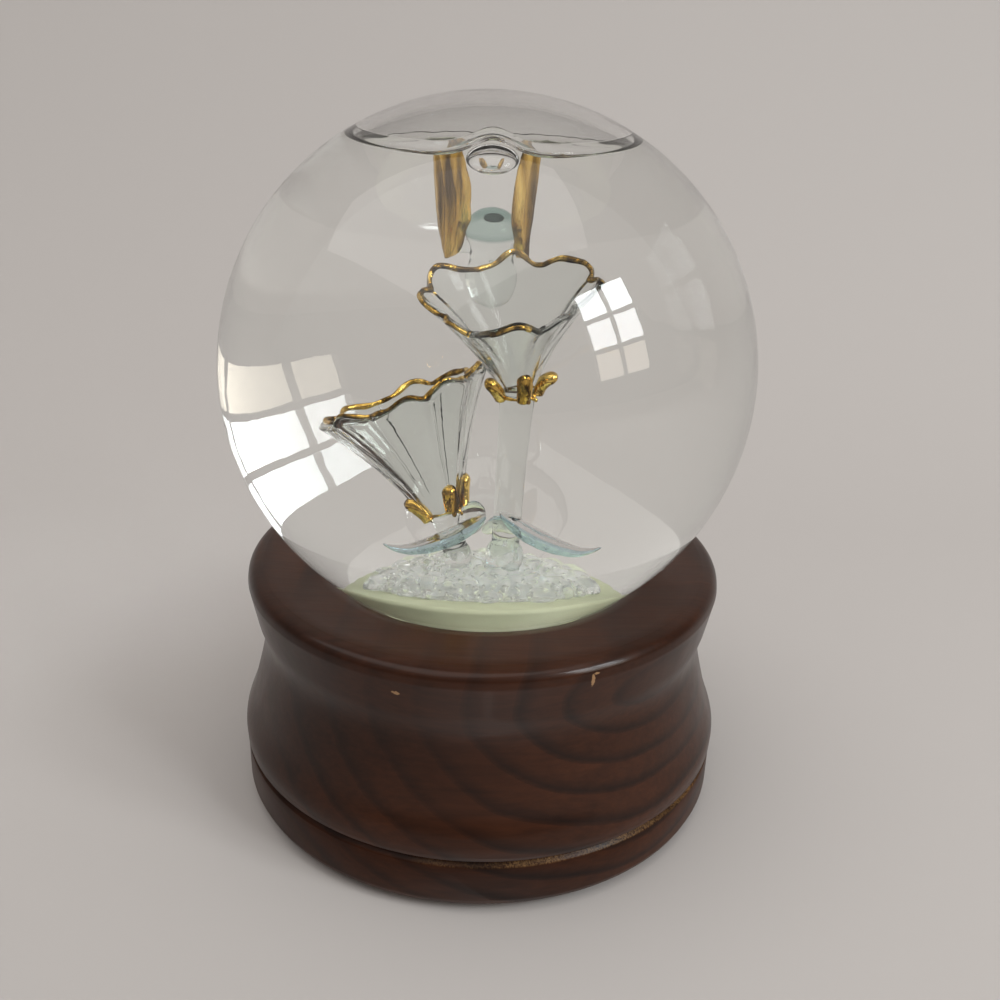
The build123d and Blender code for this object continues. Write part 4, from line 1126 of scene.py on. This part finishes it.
PLUG_STEM_R, FLANGE_R, PLUG_ROUND = 21.1, 25.0, 1.2
outline = [(0, PLUG_TOP)]
outline += arc((PLUG_STEM_R - PLUG_ROUND, PLUG_TOP - PLUG_ROUND), PLUG_ROUND, 90, 0, 8)
outline += [(PLUG_STEM_R, MOUTH_Z), (FLANGE_R - 0.4, MOUTH_Z), (FLANGE_R, MOUTH_Z - 0.4)]
outline += [(FLANGE_R, flange_z + 0.4), (FLANGE_R - 0.4, flange_z), (0, flange_z)]
finish_piece("plug", turned(outline, 128), [rubber_material()], ["rubber_plug"])

# %% [markdown]
# ## Under the base
#
# Nothing of the movement shows until the base is turned over. Its pieces keep the model's
# own shapes and get the finishes that such movements have: cast zinc, brass that came off a
# lathe, blued spring steel, a ground comb, white plastic. The cover is pressed fibreboard,
# and felt pads stand on the table.


# %% Finish the movement and the cover
def plain_finish(name, dark, light, metallic, low, high, group=MOTTLE, scale=300.0, relief=0.00002):
    """A finish between two tones, with its roughness and relief from the same noise."""
    material, tree, shader = new_material(name)
    place = object_place(tree)
    mask = use_group(tree, group, place, Scale=scale, Low=0.0, High=1.0)
    tree.links.new(mix_colours(tree, "MIX", mask, (*dark, 1), (*light, 1)), shader.inputs["Base Color"])
    rough = use_group(tree, group, place, Scale=scale * 0.7, Low=low, High=high)
    tree.links.new(rough, shader.inputs["Roughness"])
    shader.inputs["Metallic"].default_value = metallic
    bump(tree, shader, mask, relief)
    return material


ZINC = plain_finish("cast_zinc", (0.36, 0.36, 0.35), (0.46, 0.46, 0.45), 1.0, 0.42, 0.6, scale=700.0)
BRASS = plain_finish("turned_brass", (0.52, 0.36, 0.13), (0.66, 0.48, 0.20), 1.0, 0.24, 0.4, STREAKS)
FINISHES = {
    "felt_pads": plain_finish(
        "felt", (0.012, 0.011, 0.010), (0.03, 0.028, 0.026), 0.0, 0.9, 1.0, scale=1500.0, relief=0.0002
    ),
    "bottom_cover": plain_finish(
        "fibreboard", (0.13, 0.075, 0.04), (0.19, 0.115, 0.065), 0.0, 0.65, 0.85,
        scale=1200.0, relief=0.00008,
    ),
    "cover_screws": plain_finish(
        "zinc_plate", (0.42, 0.42, 0.40), (0.55, 0.54, 0.50), 1.0, 0.28, 0.42, scale=900.0
    ),
    "globe_adhesive": plain_finish("silicone", (0.60, 0.60, 0.55), (0.68, 0.68, 0.64), 0.0, 0.4, 0.55),
    "mainspring": plain_finish(
        "blued_steel", (0.05, 0.06, 0.09), (0.12, 0.13, 0.17), 1.0, 0.25, 0.4, STREAKS
    ),
    "comb": plain_finish("ground_steel", (0.42, 0.42, 0.43), (0.56, 0.56, 0.57), 1.0, 0.2, 0.34, STREAKS),
    "fan_blades": plain_finish("white_plastic", (0.66, 0.66, 0.63), (0.72, 0.72, 0.70), 0.0, 0.35, 0.5),
    "winding_key": plain_finish(
        "brass_plate", (0.50, 0.36, 0.15), (0.68, 0.50, 0.22), 1.0, 0.2, 0.36, scale=500.0
    ),
}
SAME_FINISH = (
    (ZINC, ("comb_block", "movement_plate", "governor_frame")),
    (FINISHES["cover_screws"], ("movement_screws", "comb_screws")),
    (FINISHES["comb"], ("winding_arbor", "cylinder_shaft", "fan_worm")),
    (BRASS, ("spring_housing", "great_wheel", "pin_cylinder", "cylinder_gear")),
    (BRASS, ("cylinder_brackets", "governor_gear")),
)
for finish, names in SAME_FINISH:
    for name in names:
        FINISHES[name] = finish
for name, finish in FINISHES.items():
    nodes[name].data.materials.clear()
    nodes[name].data.materials.append(finish)
print("finished as modelled:", len(FINISHES))

# %% [markdown]
# ## The stage
#
# A sheet of pale card runs from the floor up behind the object in one bend. The main light
# is a tall window to the right of the camera. Its panes are separate lamps, so that the ball
# mirrors a real window with bars. A wide dim panel overhead and the room fill the rest. The
# room is darker near the ground, which draws dark edges in the glass and the gold. The card
# casts no shadow itself, so a small lamp beneath it shows the underside to a low camera.

# %% Lay the floor and the backdrop
CARD = (0.47, 0.445, 0.43, 1)
FLOOR_FRONT, BEND_START, BEND_R, WALL_TOP, HALF_W = -6.0, 0.12, 0.35, 2.6, 6.0
BEND_STEPS = 24


def stage_material():
    """Pale card that a camera under the floor sees through."""
    material, tree, shader = new_material("backdrop_card")
    shader.inputs["Base Color"].default_value = CARD
    shader.inputs["Roughness"].default_value = 0.9
    below = tree.nodes.new("ShaderNodeNewGeometry").outputs["Backfacing"]
    seen = tree.nodes.new("ShaderNodeLightPath").outputs["Is Camera Ray"]
    clear_where(tree, shader, maths(tree, "MULTIPLY", below, seen))
    return material


sheet = bmesh.new()
line = [(FLOOR_FRONT, 0.0), (BEND_START, 0.0)]
for k in range(1, BEND_STEPS + 1):
    turn = pi / 2 * k / BEND_STEPS
    line.append((BEND_START + BEND_R * sin(turn), BEND_R * (1 - cos(turn))))
line.append((BEND_START + BEND_R, WALL_TOP))
row = [sheet.verts.new((-HALF_W, y, z)) for y, z in line]
edges = [sheet.edges.new(pair) for pair in zip(row, row[1:])]
made = bmesh.ops.extrude_edge_only(sheet, edges=edges)["geom"]
far_side = [item for item in made if isinstance(item, bmesh.types.BMVert)]
bmesh.ops.translate(sheet, verts=far_side, vec=(2 * HALF_W, 0, 0))
sheet.normal_update()
if sheet.faces[:][0].normal.z < 0:
    bmesh.ops.reverse_faces(sheet, faces=sheet.faces)
stage_mesh = bpy.data.meshes.new("backdrop")
sheet.to_mesh(stage_mesh)
sheet.free()
stage_mesh.materials.append(stage_material())
shade_smooth(stage_mesh)
backdrop = new_object("backdrop", stage_mesh)
backdrop.visible_shadow = False
print("backdrop faces:", len(stage_mesh.polygons))


# %% Light the room
def softbox(name, at, size, watts, colour, aim):
    """A rectangular lamp that faces a point."""
    lamp = bpy.data.lights.new(name, "AREA")
    lamp.shape = "RECTANGLE"
    lamp.size, lamp.size_y = size
    lamp.energy = watts
    lamp.color = colour
    holder = new_object(name, lamp)
    holder.location = at
    holder.rotation_euler = (Vector(at) - Vector(aim)).to_track_quat("Z", "Y").to_euler()


WINDOW_AT = Vector((0.65, -0.45, 0.45))
WINDOW_AIM = Vector((0, 0, 0.08))
PANE_W, PANE_H = 0.155, 0.145
PANE_STEP_W, PANE_STEP_H = 0.185, 0.170
PANE_WATTS = (1.15, 0.8, 0.3)
PANE_TINTS = ((0.93, 0.98, 1.0), (0.97, 0.99, 1.0), (1.0, 0.90, 0.76))
window_way = WINDOW_AT - WINDOW_AIM
facing = window_way.to_track_quat("Z", "Y").to_matrix()
for row_number, (watts, colour) in enumerate(zip(PANE_WATTS, PANE_TINTS)):
    for label, column in (("left", -0.5), ("right", 0.5)):
        at = WINDOW_AT + facing @ Vector((column * PANE_STEP_W, (1 - row_number) * PANE_STEP_H, 0))
        softbox(f"pane_{row_number}_{label}", at, (PANE_W, PANE_H), watts, colour, at - window_way)
softbox("under_panel", (0.1, -0.25, -0.6), (0.5, 0.5), 3.0, (1.0, 0.98, 0.96), aim=(0, 0, 0))
softbox("overhead_panel", (-0.3, -0.2, 1.6), (2.2, 2.2), 16.0, (1.0, 0.97, 0.94), aim=(0, 0, 0))

# %% Fill the room with light, less of it near the ground
ROOM_COLOUR, ROOM_STRENGTH = (0.95, 0.92, 0.89, 1), 0.62
world = bpy.data.worlds.new("room")
world.use_nodes = True
room = world.node_tree
sky = room.nodes.new("ShaderNodeTexCoord")
cut = room.nodes.new("ShaderNodeSeparateXYZ")
room.links.new(sky.outputs["Generated"], cut.inputs["Vector"])
climb = spread(room, cut.outputs["Z"], From_Min=-0.1, From_Max=0.9, To_Min=0.10, To_Max=1.0)
shade = mix_colours(room, "MIX", climb, (0.0, 0.0, 0.0, 1), ROOM_COLOUR)
room.links.new(shade, room.nodes["Background"].inputs["Color"])
room.nodes["Background"].inputs["Strength"].default_value = ROOM_STRENGTH
bpy.context.scene.world = world
print("room strength:", ROOM_STRENGTH)

# %% Close the file
bpy.context.view_layer.update()
